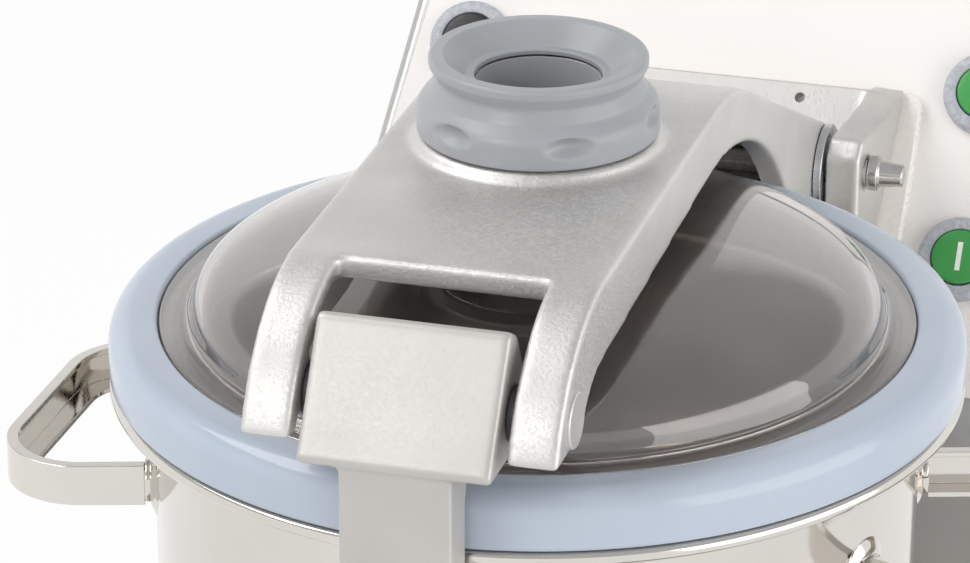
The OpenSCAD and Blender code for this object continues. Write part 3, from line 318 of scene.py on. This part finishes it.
# A node's solid with rounded edges, of the width in mm; pick chooses the edges by their middle
def edged(node, name, width, steps=3, angle=32, pick=None, clamp=True, flat=1.0):
    shape = cleanCopy(node, flat)
    sharp = [e for e in shape.edges if len(e.link_faces) == 2
             and e.calc_face_angle(0) > math.radians(angle)
             and (pick is None or pick((e.verts[0].co + e.verts[1].co) / 2))]
    bmesh.ops.bevel(shape, geom=sharp, offset=width * mm, offset_type="OFFSET",
                    segments=steps, profile=0.5, affect="EDGES", clamp_overlap=clamp)
    bmesh.ops.remove_doubles(shape, verts=shape.verts, dist=0.002 * mm)
    piece = pieceFrom(shape, name)
    piece.modifiers.new("weights", "WEIGHTED_NORMAL").keep_sharp = True
    shadeSmooth(piece.data, 40)
    return settle(piece)


# A closed loop of corners (radius, height, rounding in mm) with its corners rounded
def rounded(corners, steps=6):
    points = []
    count = len(corners)
    for i, (x, z, r) in enumerate(corners):
        here = Vector((x, z))
        before = Vector(corners[i - 1][:2]) - here
        after = Vector(corners[(i + 1) % count][:2]) - here
        if r == 0:
            points.append(here)
            continue
        half = before.angle(after) / 2
        reach = min(r / math.tan(half), 0.49 * before.length, 0.49 * after.length)
        centre = here + (before.normalized() + after.normalized()).normalized() \
            * reach / math.cos(half)
        start, end = here + before.normalized() * reach - centre, \
            here + after.normalized() * reach - centre
        sweep = start.angle(end)
        for k in range(steps + 1):
            t = k / steps
            points.append(centre + (start * math.sin((1 - t) * sweep)
                                    + end * math.sin(t * sweep)) / math.sin(sweep))
    return points


# Adds points along an outline so that no stretch is longer than the step
def subdivided(points, step):
    dense = []
    for i, here in enumerate(points):
        there = points[(i + 1) % len(points)]
        parts = max(1, math.ceil((there - here).length / step))
        dense += [here.lerp(there, k / parts) for k in range(parts)]
    return dense


# Turns an outline in mm round the vertical, or round the given frame's own axis
def lathe(name, points, steps=180, place=None, bend=None):
    shape = bmesh.new()
    rings = []
    for k in range(steps):
        a = 2 * math.pi * k / steps
        ring = []
        for p in points:
            q = bend(p, a) if bend else p
            ring.append(shape.verts.new((q[0] * mm * math.cos(a), q[0] * mm * math.sin(a),
                                         q[1] * mm)))
        rings.append(ring)
    for k in range(steps):
        near, far = rings[k], rings[(k + 1) % steps]
        for i in range(len(points)):
            j = (i + 1) % len(points)
            shape.faces.new((near[i], far[i], far[j], near[j]))
    bmesh.ops.remove_doubles(shape, verts=shape.verts, dist=0.001 * mm)
    bmesh.ops.dissolve_degenerate(shape, edges=shape.edges, dist=0.001 * mm)
    shape.transform(place or Matrix.Translation(lip))
    piece = pieceFrom(shape, name)
    shadeSmooth(piece.data, 40)
    return piece


def rod(shape, diameter, length, steps, place):
    made = bmesh.ops.create_cone(shape, cap_ends=True, segments=steps, radius1=diameter / 2 * mm,
                                 radius2=diameter / 2 * mm, depth=length * mm)
    bmesh.ops.transform(shape, verts=made["verts"], matrix=place)


def rodAlongX(shape, diameter, x0, x1, at, steps=64):
    rod(shape, diameter, x1 - x0, steps,
        Matrix.Translation(at + Vector(((x0 + x1) / 2 * mm, 0, 0)))
        @ Matrix.Rotation(math.pi / 2, 4, "Y"))


def rodUp(shape, diameter, z0, z1, at, steps=96):
    rod(shape, diameter, z1 - z0, steps,
        Matrix.Translation(at + Vector((0, 0, (z0 + z1) / 2 * mm))))



# A casting: the node's solid with its holes filled, remeshed and softened so that every edge
# is round, and with the holes cut again
def cast(node, name, look, fill, cut):
    shape = bmesh.new()
    shape.from_mesh(frame["nodes"][node].data)
    bmesh.ops.remove_doubles(shape, verts=shape.verts, dist=0.002 * mm)
    fill(shape)
    piece = pieceFrom(shape, name)
    coarse = 1
    remesh = piece.modifiers.new("remesh", "REMESH")
    remesh.mode = "VOXEL"
    remesh.voxel_size = look["voxel"] * coarse * mm
    soften = piece.modifiers.new("soften", "SMOOTH")
    soften.factor = 0.5
    soften.iterations = look["passes"] // (coarse * coarse)
    settle(piece, 60)
    holes = bmesh.new()
    cut(holes)
    if holes.verts:
        cutter = pieceFrom(holes, name + "Cutter")
        bore = piece.modifiers.new("bore", "BOOLEAN")
        bore.operation = "DIFFERENCE"
        bore.solver = "EXACT"
        bore.object = cutter
        settle(piece, 50)
        bpy.data.objects.remove(cutter)
    else:
        holes.free()
    return piece


# Before a casting is remeshed its bores are filled a little wider, and then cut to size
# with cutters that reach past both ends
fillOver = 1
arm = {"voxel": 1.2, "passes": 14, "bore": 53.5, "bush": 14, "pin": 10, "head": 18, "sink": 3,
       "halfWidth": 50.5, "padTop": 65, "padLow": 45, "lugIn": 30.6, "prongIn": 34, "past": 60,
       "boreLow": 20, "boreHigh": 90}


def fillArm(shape):
    for diameter, inside, at in ((arm["bush"], arm["lugIn"], hinge),
                                 (arm["head"], arm["prongIn"], leverPin)):
        for x0, x1 in ((inside, arm["halfWidth"]), (-arm["halfWidth"], -inside)):
            rodAlongX(shape, diameter + fillOver, x0, x1, at)
    rodUp(shape, arm["bore"] + fillOver, arm["padLow"], arm["padTop"], lip)


def cutArm(shape):
    rodAlongX(shape, arm["bush"], -arm["past"], arm["past"], hinge)
    rodAlongX(shape, arm["pin"], -arm["past"], arm["past"], leverPin)
    sunk = arm["halfWidth"] - arm["sink"]
    for x0, x1 in ((sunk, arm["past"]), (-arm["past"], -sunk)):
        rodAlongX(shape, arm["head"], x0, x1, leverPin)
    rodUp(shape, arm["bore"], arm["boreLow"], arm["boreHigh"], lip)


dress(cast("arm_casting", "armCasting", arm, fillArm, cutArm), "arm_casting")
print("arm cast")

lever = {"voxel": 0.9, "passes": 18, "pin": 10.1, "half": 31, "past": 60}


def fillLever(shape):
    rodAlongX(shape, lever["pin"] + fillOver, -lever["half"], lever["half"], leverPin)


def cutLever(shape):
    rodAlongX(shape, lever["pin"], -lever["past"], lever["past"], leverPin)


dress(cast("lock_lever", "lockLever", lever, fillLever, cutLever), "lock_lever")
print("lever cast")

bracket = {"voxel": 1.0, "passes": 10, "pin": 10.1, "half": 67, "screw": 8, "screwX": 41,
           "screwUp": (-20, -79), "back": 8.5, "front": 14.5, "hole": (33, 2, 4, 6),
           "cheekIn": 54.5, "skin": 1, "past": 90, "out": 30}


def panelRod(shape, diameter, x, up, out0, out1, steps=48):
    rod(shape, diameter, out1 - out0, steps,
        panelFrame @ Matrix.Translation(Vector((x, up, (out0 + out1) / 2)) * mm))


def fillBracket(shape):
    outside = bracket["half"] - bracket["skin"]
    for x0, x1 in ((bracket["cheekIn"], outside), (-outside, -bracket["cheekIn"])):
        rodAlongX(shape, bracket["pin"] + fillOver, x0, x1, hinge)
    for x in (-bracket["screwX"], bracket["screwX"]):
        for up in bracket["screwUp"]:
            panelRod(shape, bracket["screw"] + fillOver, x, up, bracket["back"], bracket["front"])
    x, up, size, deep = bracket["hole"]
    panelRod(shape, size + fillOver, x, up, bracket["back"], bracket["front"])


def cutBracket(shape):
    rodAlongX(shape, bracket["pin"], -bracket["past"], bracket["past"], hinge)
    for x in (-bracket["screwX"], bracket["screwX"]):
        for up in bracket["screwUp"]:
            panelRod(shape, bracket["screw"], x, up, 0, bracket["out"])
    x, up, size, deep = bracket["hole"]
    panelRod(shape, size, x, up, bracket["front"] - deep + 1, bracket["out"])


dress(cast("hinge_bracket", "hingeBracket", bracket, fillBracket, cutBracket), "hinge_bracket")
print("bracket cast")

# The lid dome: flange with its raised land, superellipse shell, collar and neck
dome = {"flange": 266, "land": 252.4, "across": 231, "height": 27.5, "wall": 3.5, "power": 0.72,
        "top": -0.6, "shelf": -4, "low": -7.5, "foot": 4, "collar": 68, "collarTop": 45,
        "neck": 53.4, "neckTop": 82.2, "feed": 42, "fillet": 2, "landIn": 5, "steps": 48}


def domeArc(r, h, z, clip):
    points = []
    for i in range(dome["steps"] + 1):
        a = math.pi / 2 * i / dome["steps"]
        x = r * math.cos(a) ** dome["power"]
        if x > clip:
            points.append(Vector((x, z + h * math.sin(a) ** dome["power"])))
    return points


outer = domeArc(dome["across"] / 2, dome["height"], dome["top"],
                dome["collar"] / 2 + dome["fillet"])
outer = [p for p in outer if p.y > dome["top"] + dome["foot"]]
inner = domeArc(dome["across"] / 2 - dome["wall"], dome["height"] - dome["wall"], dome["top"],
                dome["feed"] / 2 + 1)
inner[0].y = dome["low"]
domeTop = dome["top"] + dome["height"]
footX, footZ = dome["across"] / 2 + dome["foot"], dome["top"] + dome["foot"]
domeFoot = [Vector((footX - dome["foot"] * math.sin(t), footZ - dome["foot"] * math.cos(t)))
            for t in [math.pi / 2 * k / 6 for k in range(6)]]
collarFoot = [Vector((dome["collar"] / 2 + dome["fillet"] * (1 - math.sin(t)),
                      domeTop + dome["fillet"] * (1 - math.cos(t))))
              for t in [math.pi / 2 * k / 5 for k in range(6)]]
neckSide = rounded([(dome["collar"] / 2, domeTop + dome["fillet"] + 1, 0),
                    (dome["collar"] / 2, dome["collarTop"], 1.5),
                    (dome["neck"] / 2, dome["collarTop"], 1),
                    (dome["neck"] / 2, dome["neckTop"], 1), (dome["feed"] / 2, dome["neckTop"], 1),
                    (dome["feed"] / 2, domeTop - dome["wall"], 1)])
rim = rounded([(dome["flange"] / 2, dome["low"], 0.6), (dome["flange"] / 2, dome["shelf"], 0.6),
               (dome["land"] / 2, dome["shelf"], 0.3), (dome["land"] / 2, dome["top"], 0.9),
               (dome["across"] / 2 + dome["landIn"], dome["top"], 0)], 5)[:-1]
domeLine = rim + domeFoot + outer + collarFoot + neckSide[:-1] + list(reversed(inner))
dress(lathe("lidDome", domeLine, 240), "lid_dome")
print("dome turned")

seal = {"outer": 143, "lipIn": 126.5, "inner": 121, "round": 16.5, "groove": 133, "low": -19.7,
        "flangeLow": -7.5, "flangeTop": -4}
sealLine = rounded([(seal["inner"], seal["low"], 1.5), (seal["outer"], seal["low"], 2.5),
                    (seal["outer"], 0, seal["round"]), (seal["lipIn"], 0, 1.6),
                    (seal["lipIn"], seal["flangeTop"], 0), (seal["groove"], seal["flangeTop"], 0),
                    (seal["groove"], seal["flangeLow"], 0),
                    (seal["inner"], seal["flangeLow"], 1)], 12)
dress(lathe("lidSeal", sealLine, 240), "lid_seal")

nut = {"low": 65.3, "skirt": 40, "skirtTop": 9.5, "waist": 33.8, "waistUp": 18.72, "rim": 36.1,
       "height": 26, "inside": 31.4, "feed": 21, "ledge": 2.9, "floor": 19, "lift": 17.2,
       "neck": 27, "notches": 6, "notchBall": 14, "notchReach": 50.2, "notchUp": 7.8,
       "notchTall": 2.5, "notchSoft": 0.5}


# Finger notches: the skirt is pressed in by a ball at each of them, with a soft border
def nutBend(p, a):
    r, z = p
    if r < nut["waist"] - 1 or z > nut["waistUp"]:
        return p
    step = 2 * math.pi / nut["notches"]
    off = (a + step / 2) % step - step / 2
    reach = nut["notchReach"]
    away = math.sqrt((r * math.cos(off) - reach) ** 2 + (r * math.sin(off)) ** 2
                     + ((z - nut["notchUp"]) * nut["notchTall"]) ** 2)
    deep = nut["notchBall"] - away
    soft = nut["notchSoft"]
    pressed = (deep + math.sqrt(deep * deep + soft * soft)) / 2 - 0.01
    return (r - max(0, pressed), z) if deep > -3 else p


nutLine = subdivided(rounded([
    (nut["neck"], 0, 0.4), (nut["skirt"], 0, 1.2), (nut["skirt"], nut["skirtTop"], 5),
    (nut["skirt"] - 4.2, nut["skirtTop"] + 4.5, 4), (nut["waist"], nut["waistUp"], 2.2),
    (nut["rim"], nut["height"] - 3, 1.2), (nut["rim"], nut["height"], 1.3),
    (nut["inside"], nut["height"], 0.4), (nut["feed"] + nut["ledge"], nut["floor"], 0.7),
    (nut["feed"], nut["floor"], 0.6),
    (nut["feed"], nut["lift"], 0.3), (nut["neck"], nut["lift"], 0.3)], 6), 0.7)
lidNut = lathe("lidNut", nutLine, 240, Matrix.Translation(lip + Vector((0, 0, nut["low"] * mm))),
               nutBend)
dress(lidNut, "lid_nut")
# A grey sheet inside the neck's bore: painted light, grey where the bore shows the lit inside of
# the bowl
boreLightSheet = {"out": 20.97, "in": 20.4, "low": 54, "top": 82}
boreLightLine = rounded([(boreLightSheet["in"], boreLightSheet["low"], 0.2), (boreLightSheet["out"], boreLightSheet["low"], 0.1),
                     (boreLightSheet["out"], boreLightSheet["top"], 0.1), (boreLightSheet["in"], boreLightSheet["top"], 0.2)], 3)
dress(lathe("paintedBoreLight", boreLightLine, 120, Matrix.Translation(lip)), "lid_dome", greyPolyamide,
      replace=False)
print("seal and nut turned")

# The bowl: one sheet from the chimney over the corner to the rolled rim
bowl = {"radius": 128.5, "height": 174, "sheet": 1.5, "corner": 20, "flare": 6, "rim": 143,
        "bead": 2.5, "chimney": 22}
bowlPlace = Matrix.Translation(Vector((0, axisY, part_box("bowl_shell")[0].z)))


def arc(cx, cz, r, a0, a1, steps):
    return [Vector((cx + r * math.cos(math.radians(a0 + (a1 - a0) * k / steps)),
                    cz + r * math.sin(math.radians(a0 + (a1 - a0) * k / steps))))
            for k in range(steps + 1)]


def bowlLine():
    r, t, c, f, h = bowl["radius"], bowl["sheet"], bowl["corner"], bowl["flare"], bowl["height"]
    beadX, beadZ = bowl["rim"] - bowl["bead"], h - bowl["bead"]
    outside = [Vector((bowl["chimney"], 0))] + arc(r - c, c, c, -90, 0, 14) \
        + arc(r + f, h - f - t, f, 180, 90, 8)
    bead = arc(beadX, beadZ, bowl["bead"], -160, 90, 18)
    inside = arc(r + f, h - f - t, f + t, 90, 180, 8) + arc(r - c, c, c - t, 0, -90, 14) \
        + [Vector((bowl["chimney"], t))]
    return outside + bead + inside


dress(lathe("bowlShell", bowlLine(), 240, bowlPlace), "bowl_shell")
for node, name in (("bowl_chimney", "bowlChimney"), ("bowl_foot_ring", "bowlFootRing")):
    dress(edged(node, name, 0.5), node)
for node, name in (("left_handle", "leftHandle"), ("right_handle", "rightHandle")):
    dress(edged(node, name, 0.7, steps=4), node)

# The bosses are drawn out of the bowl's wall: round domes that run into it, each with the
# handle's flange on top
boss = {"across": 22, "out": 2.2, "angle": 18, "skew": -0.75, "drop": -62, "flange": 15,
        "flangeThick": 1.6, "spread": 3.5, "sunk": 0.3, "under": 0.8, "rings": 12, "steps": 64}


def handleBosses():
    shape = bmesh.new()
    wall = bowl["radius"]
    for side in (0, 180):
        for a in (-boss["angle"], boss["angle"]):
            turn = Matrix.Rotation(math.radians(side + a + boss["skew"]), 4, "Z")
            place = Matrix.Translation(lip + Vector((0, 0, boss["drop"] * mm))) @ turn
            rings = []
            reach = boss["across"] / 2 + boss["spread"]
            for i in range(boss["rings"] + 1):
                share = i / boss["rings"]
                r = reach * (1 - share)
                lift = (boss["out"] + boss["sunk"]) * 0.5 * (1 + math.cos(math.pi * max(
                    0, (r - boss["flange"] / 2 + 1) / (reach - boss["flange"] / 2 + 1))))
                ring = []
                for k in range(boss["steps"]):
                    t = 2 * math.pi * k / boss["steps"]
                    y, z = r * math.cos(t), r * math.sin(t)
                    ring.append(shape.verts.new(place @ (Vector((
                        math.sqrt(wall * wall - y * y) - boss["sunk"] + lift, y, z)) * mm)))
                rings.append(ring)
            for near, far in zip(rings, rings[1:]):
                for k in range(boss["steps"]):
                    j = (k + 1) % boss["steps"]
                    shape.faces.new((near[k], near[j], far[j], far[k]))
            back = []
            for k in range(boss["steps"]):
                t = 2 * math.pi * k / boss["steps"]
                y, z = reach * math.cos(t), reach * math.sin(t)
                back.append(shape.verts.new(place @ (Vector((
                    math.sqrt(wall * wall - y * y) - boss["under"], y, z)) * mm)))
            for k in range(boss["steps"]):
                j = (k + 1) % boss["steps"]
                shape.faces.new((rings[0][j], rings[0][k], back[k], back[j]))
            shape.faces.new(back)
            flange = rounded([(0, -0.5, 0), (boss["flange"] / 2, -0.5, 0.2),
                              (boss["flange"] / 2, boss["flangeThick"], 0.7),
                              (0, boss["flangeThick"], 0)], 4)
            out = place @ Matrix.Translation(Vector(((wall + boss["out"]) * mm, 0, 0))) \
                @ Matrix.Rotation(math.pi / 2, 4, "Y")
            loops = []
            for k in range(boss["steps"]):
                t = 2 * math.pi * k / boss["steps"]
                loops.append([shape.verts.new(out @ Vector((p[0] * mm * math.cos(t),
                              p[0] * mm * math.sin(t), p[1] * mm))) for p in flange])
            for k in range(boss["steps"]):
                j = (k + 1) % boss["steps"]
                for i in range(len(flange) - 1):
                    shape.faces.new((loops[k][i], loops[j][i], loops[j][i + 1], loops[k][i + 1]))
    bmesh.ops.remove_doubles(shape, verts=shape.verts, dist=0.001 * mm)
    piece = pieceFrom(shape, "handleBosses")
    shadeSmooth(piece.data, 50)
    return piece


dress(handleBosses(), "handle_plates")
print("bowl and handles made")

# The housing: the edges that show get a folded sheet's radius
housing = {"fold": 4, "baseFold": 2.2, "narrowing": 31.2, "near": 1.2, "level": 0.1,
           "lowest": 170, "clearOfSeat": 100, "sideFrom": 140, "frontFrom": 60, "backBand": 5}
columnLow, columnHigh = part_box("column_housing")
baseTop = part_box("base_housing")[1]


def columnSide(p):
    share = (p.z - columnLow.z) / (columnHigh.z - columnLow.z)
    half = columnHigh.x - share * housing["narrowing"] * mm
    return p.z > columnHigh.z - housing["level"] * mm or (
        abs(abs(p.x) - half) < housing["near"] * mm
        and p.z > hinge.z - housing["lowest"] * mm)


def baseRim(p):
    return (p.z > baseTop.z - housing["level"] * mm
            and abs(p.x) + abs(p.y - axisY) > housing["clearOfSeat"] * mm
            and (abs(p.x) > housing["sideFrom"] * mm or p.y < -housing["frontFrom"] * mm
                 or p.y > baseTop.y - housing["backBand"] * mm))


dress(edged("column_housing", "columnHousing", housing["fold"], 5, pick=columnSide, clamp=False),
      "column_housing")
dress(edged("base_housing", "baseHousing", housing["baseFold"], 4, pick=baseRim, clamp=False),
      "base_housing")
# The lever's pin looks like the arm that it is flush with; its washers get the dark thermoset as
# painted shade, standing in for the shade that falls on them
armLookAndPaintedShade = {"lever_pin": castAluminium, "lever_washers": darkThermoset}
for node, name, width in (
        ("bottom_plate", "bottomPlate", 0.4), ("rear_cover", "rearCover", 0.4),
        ("chassis_plate", "chassisPlate", 0.4), ("feet", "rubberFeet", 1.6),
        ("foot_screws", "footScrews", 0.6), ("cover_screws", "coverScrews", 0.8),
        ("bracket_screws", "bracketScrews", 0.5), ("seat_screws", "seatScrews", 0.3),
        ("motor_studs", "motorStuds", 0.4), ("hinge_washers", "hingeWashers", 0.5),
        ("lever_washers", "leverWashers", 0.4), ("control_panel", "controlPanel", 0.35),
        ("hinge_pin", "hingePin", 0.8), ("lever_pin", "leverPin", 0.7),
        ("seat_ring", "seatRing", 0.6),
        ("bowl_stop", "bowlStop", 0.6), ("cable_gland", "cableGland", 1.0),
        ("interlock_switch", "interlockSwitch", 0.9), ("interlock_magnet", "interlockMagnet", 0.8),
        ("contact_blocks", "contactBlocks", 0.8), ("contactors", "contactors", 1.2),
        ("terminal_block", "terminalBlock", 1.0), ("hinge_bushes", "hingeBushes", 0.3),
        ("drive_shaft", "driveShaft", 0.8), ("rotor_core", "rotorCore", 0.6),
        ("cooling_fan", "coolingFan", 0.5), ("blade_hub", "bladeHub", 1.2),
        ("blade_cap", "bladeCap", 1.8), ("lower_blade", "lowerBlade", 0.7),
        ("upper_blade", "upperBlade", 0.7), ("motor_stator", "motorStator", 0.8),
        ("upper_shield", "upperShield", 1.2), ("lower_shield", "lowerShield", 1.2),
        ("upper_bearing", "upperBearing", 0.6), ("lower_bearing", "lowerBearing", 0.6),
        ("shaft_seal", "shaftSeal", 0.6)):
    # the lever's washers get the dark thermoset here as painted shade
    dress(edged(node, name, width), node, armLookAndPaintedShade.get(node))

# The plate behind the bracket: round corners, and a softened front edge
backing = {"half": 78, "low": -112, "high": 10, "corner": 5, "back": 1.5, "front": 8.5,
           "edge": 0.8, "steps": 6, "turns": 8}


def backingPlate():
    shape = bmesh.new()
    loops = []
    levels = [(0, backing["back"])] + [
        (backing["edge"] * (1 - math.cos(t)),
         backing["front"] - backing["edge"] * (1 - math.sin(t)))
        for t in [math.pi / 2 * k / backing["steps"] for k in range(backing["steps"] + 1)]]
    for inset, out in levels:
        loop = []
        for number, (sx, sy) in enumerate(((1, 1), (-1, 1), (-1, -1), (1, -1))):
            cx = sx * (backing["half"] - backing["corner"])
            cy = (backing["high"] - backing["corner"]) if sy > 0 else (
                backing["low"] + backing["corner"])
            for k in range(backing["turns"] + 1):
                t = math.pi / 2 * (number + k / backing["turns"])
                reach = backing["corner"] - inset
                loop.append(shape.verts.new(panelFrame @ (Vector((
                    cx + reach * math.cos(t), cy + reach * math.sin(t), out)) * mm)))
        loops.append(loop)
    count = len(loops[0])
    for near, far in zip(loops, loops[1:]):
        for k in range(count):
            j = (k + 1) % count
            shape.faces.new((near[k], near[j], far[j], far[k]))
    shape.faces.new(loops[-1])
    shape.faces.new(list(reversed(loops[0])))
    piece = pieceFrom(shape, "backingPlate")
    shadeSmooth(piece.data, 30)
    return piece


dress(backingPlate(), "backing_plate")
print("housing, fittings and drive made")

# The four buttons, with flecked rings, domed caps and printed marks
button = {"x": 101, "rise": 14, "pitch": 65, "ring": 16, "ringHigh": 5, "capHole": 10.9,
          "cap": 10.5, "stem": 6, "seat": 5.6, "proud": 7.9, "dome": 0.5, "barrel": 16,
          "barrelR": 9, "stemHole": 6.05, "floor": 0.8, "overlay": 1.5, "bar": (1.9, 11),
          "ink": 0.12, "inkDeep": 0.35, "ringMark": (3.0, 4.6, 0.95), "ringSteps": 48}
buttonPlaces = {"pulse_button": (-button["x"], button["rise"]),
                "fast_button": (button["x"], button["rise"]),
                "slow_button": (button["x"], button["rise"] - button["pitch"]),
                "stop_button": (-button["x"], button["rise"] - button["pitch"])}


def onPanel(x, up, out=0):
    return panelFrame @ Matrix.Translation(Vector((x, up, out)) * mm)


def joined(name, parts):
    shape = bmesh.new()
    for part in parts:
        shape.from_mesh(part.data)
        bpy.data.objects.remove(part)
    piece = pieceFrom(shape, name)
    shadeSmooth(piece.data, 40)
    return piece


ringTop = button["overlay"] + button["ringHigh"]
ringLine = rounded([(button["stemHole"], -button["barrel"], 0),
                    (button["barrelR"], -button["barrel"], 0.5),
                    (button["barrelR"], button["overlay"], 0),
                    (button["ring"], button["overlay"], 0.3), (button["ring"], ringTop, 2.0),
                    (button["capHole"], ringTop, 0.6),
                    (button["capHole"], button["overlay"] + button["floor"], 0.2),
                    (button["stemHole"], button["overlay"] + button["floor"], 0.2)], 5)
rings = [lathe("ring" + str(i), ringLine, 120, onPanel(*place))
         for i, place in enumerate(buttonPlaces.values())]
dress(joined("buttonRings", rings), "button_rings")


def capLine():
    top = button["proud"]
    return rounded([(0, -button["barrel"], 0), (button["stem"], -button["barrel"], 0.4),
                    (button["stem"], button["seat"], 0), (button["cap"], button["seat"], 0.4),
                    (button["cap"], top - button["dome"], 0.9), (0, top - button["dome"], 0)], 5)


# The crown rises a little towards the middle of the cap
def capCrown(p, a):
    share = min(1, p[0] / button["cap"])
    if p[1] < button["seat"] + 1:
        return p
    return (p[0], p[1] + button["dome"] * (1 - share * share))


def markBar(shape, place, x, width, length):
    made = bmesh.ops.create_grid(shape, x_segments=2, y_segments=10, size=0.5)
    for v in made["verts"]:
        px, py = x + v.co.x * width, v.co.y * length
        share = math.hypot(px, py) / button["cap"]
        v.co = place @ (Vector((px, py, button["proud"] - button["dome"] * share * share
                                + button["ink"])) * mm)


def markRing(shape, place):
    steps = button["ringSteps"]
    wide, high, line = button["ringMark"]
    loops = []
    for k in range(steps):
        t = 2 * math.pi * k / steps
        loop = []
        for grow in (-line, line):
            px, py = (wide + grow) * math.cos(t), (high + grow) * math.sin(t)
            share = math.hypot(px, py) / button["cap"]
            loop.append(shape.verts.new(place @ (Vector((
                px, py, button["proud"] - button["dome"] * share * share + button["ink"])) * mm)))
        loops.append(loop)
    for k in range(steps):
        near, far = loops[k], loops[(k + 1) % steps]
        shape.faces.new((near[0], near[1], far[1], far[0]))


marks = {"fast_button": (-2.3, 2.3), "slow_button": (0,), "stop_button": "ring",
         "pulse_button": ()}
for node, place in buttonPlaces.items():
    line = subdivided(capLine(), 1.2)
    cap = lathe(node.replace("_button", "Button"), line, 96, onPanel(*place), capCrown)
    dress(cap, node)
    if not marks[node]:
        continue
    shape = bmesh.new()
    if marks[node] == "ring":
        markRing(shape, onPanel(*place))
    else:
        for x in marks[node]:
            markBar(shape, onPanel(*place), x, *button["bar"])
    thick = bmesh.ops.extrude_face_region(shape, geom=list(shape.faces))
    down = panelFrame.to_3x3() @ Vector((0, 0, -button["inkDeep"] * mm))
    bmesh.ops.translate(shape, vec=down, verts=[g for g in thick["geom"]
                                                if isinstance(g, bmesh.types.BMVert)])
    mark = pieceFrom(shape, node.replace("_button", "Mark"))
    shadeSmooth(mark.data, 30)
    mark.data.materials.append(whiteInk)
    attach(mark, bodyOf[node])
print("buttons made")

# Studio: a pale floor, a white world, soft boxes, and the camera
stage = {"floor": 9, "floorColour": "#F4F4F4", "floorGlow": 0.93, "low": 1.0, "high": 0.55,
         "edge": 26, "soft": 4}


def makeFloor():
    shape = bmesh.new()
    bmesh.ops.create_grid(shape, x_segments=8, y_segments=8, size=stage["floor"] / 2)
    floor = pieceFrom(shape, "floor")
    material, tree, shader = newMaterial("paleFloor", {"Roughness": 0.8})
    shader.inputs["Base Color"].default_value = toLinear(stage["floorColour"])
    rays = addNode(tree, "LightPath")
    through = addNode(tree, "Math", {"operation": "MAXIMUM"}, {
        0: rays.outputs["Is Glossy Ray"], 1: rays.outputs["Is Transmission Ray"]})
    seen = addNode(tree, "Math", {"operation": "MAXIMUM"}, {
        0: rays.outputs["Is Camera Ray"], 1: through.outputs[0]})
    glow = addNode(tree, "Math", {"operation": "MULTIPLY", 1: stage["floorGlow"]},
                   {0: seen.outputs[0]})
    white = addNode(tree, "Emission", {"Strength": 1.0})
    both = addNode(tree, "MixShader", None, {0: glow.outputs[0], 1: shader.outputs[0],
                                             2: white.outputs[0]})
    tree.links.new(both.outputs[0], tree.nodes["Material Output"].inputs["Surface"])
    floor.data.materials.append(material)


# The room: a white sweep all round up to the edge, and a dim ceiling above it
def makeWorld():
    world = bpy.data.worlds.new("studioWorld")
    bpy.context.scene.world = world
    world.use_nodes = True
    tree = world.node_tree
    light = tree.nodes["Background"]
    light.inputs["Color"].default_value = toLinear("#FFFFFF")
    way = addNode(tree, "TexCoord").outputs["Generated"]
    parts = addNode(tree, "SeparateXYZ", None, {0: way})
    level = addNode(tree, "MapRange", {
        "interpolation_type": "SMOOTHSTEP",
        "From Min": math.sin(math.radians(stage["edge"] - stage["soft"] / 2)),
        "From Max": math.sin(math.radians(stage["edge"] + stage["soft"] / 2)),
        "To Min": stage["low"], "To Max": stage["high"]}, {"Value": parts.outputs["Z"]})
    tree.links.new(level.outputs[0], light.inputs["Strength"])


lamps = {"topLamp": {"at": (-1.15, -0.3, 2.1), "size": (1.3, 1.0), "watts": 15},
         "frontLamp": {"at": (-0.7, -1.6, 1.45), "size": (0.55, 0.35), "watts": 6},
         "sideLamp": {"at": (1.95, -0.45, 0.8), "size": (2.2, 1.6), "watts": 17}}


def makeLamps():
    for name, lamp in lamps.items():
        light = bpy.data.lights.new(name, "AREA")
        light.shape = "RECTANGLE"
        light.size, light.size_y = lamp["size"]
        light.energy = lamp["watts"]
        light.color = (1.0, 0.99, 0.975)
        body = bpy.data.objects.new(name, light)
        body.location = Vector(lamp["at"])
        body.rotation_euler = (lip - body.location).to_track_quat("-Z", "Y").to_euler()
        bpy.context.scene.collection.objects.link(body)


view = {"azimuth": 16, "elevation": 23.6, "distance": 1667, "right": -17.5, "up": 9.0,
        "focal": 5000, "imageWide": 970, "sensor": 36}


def makeCamera():
    az, el = math.radians(view["azimuth"]), math.radians(view["elevation"])
    right = Vector((math.cos(az), math.sin(az), 0))
    back = Vector((math.sin(az) * math.cos(el), -math.cos(az) * math.cos(el), math.sin(el)))
    up = back.cross(right)
    lens = bpy.data.cameras.new("studioCamera")
    lens.sensor_width = view["sensor"]
    lens.lens = view["focal"] * view["sensor"] / view["imageWide"]
    camera = bpy.data.objects.new("studioCamera", lens)
    turn = Matrix((right, up, back)).transposed().to_4x4()
    place = lip + (back * view["distance"] + right * view["right"] + up * view["up"]) * mm
    camera.matrix_world = Matrix.Translation(place) @ turn
    bpy.context.scene.collection.objects.link(camera)
    bpy.context.scene.camera = camera


makeFloor()
makeWorld()
makeLamps()
makeCamera()
bpy.context.scene.view_settings.view_transform = "Standard"
print("studio set")
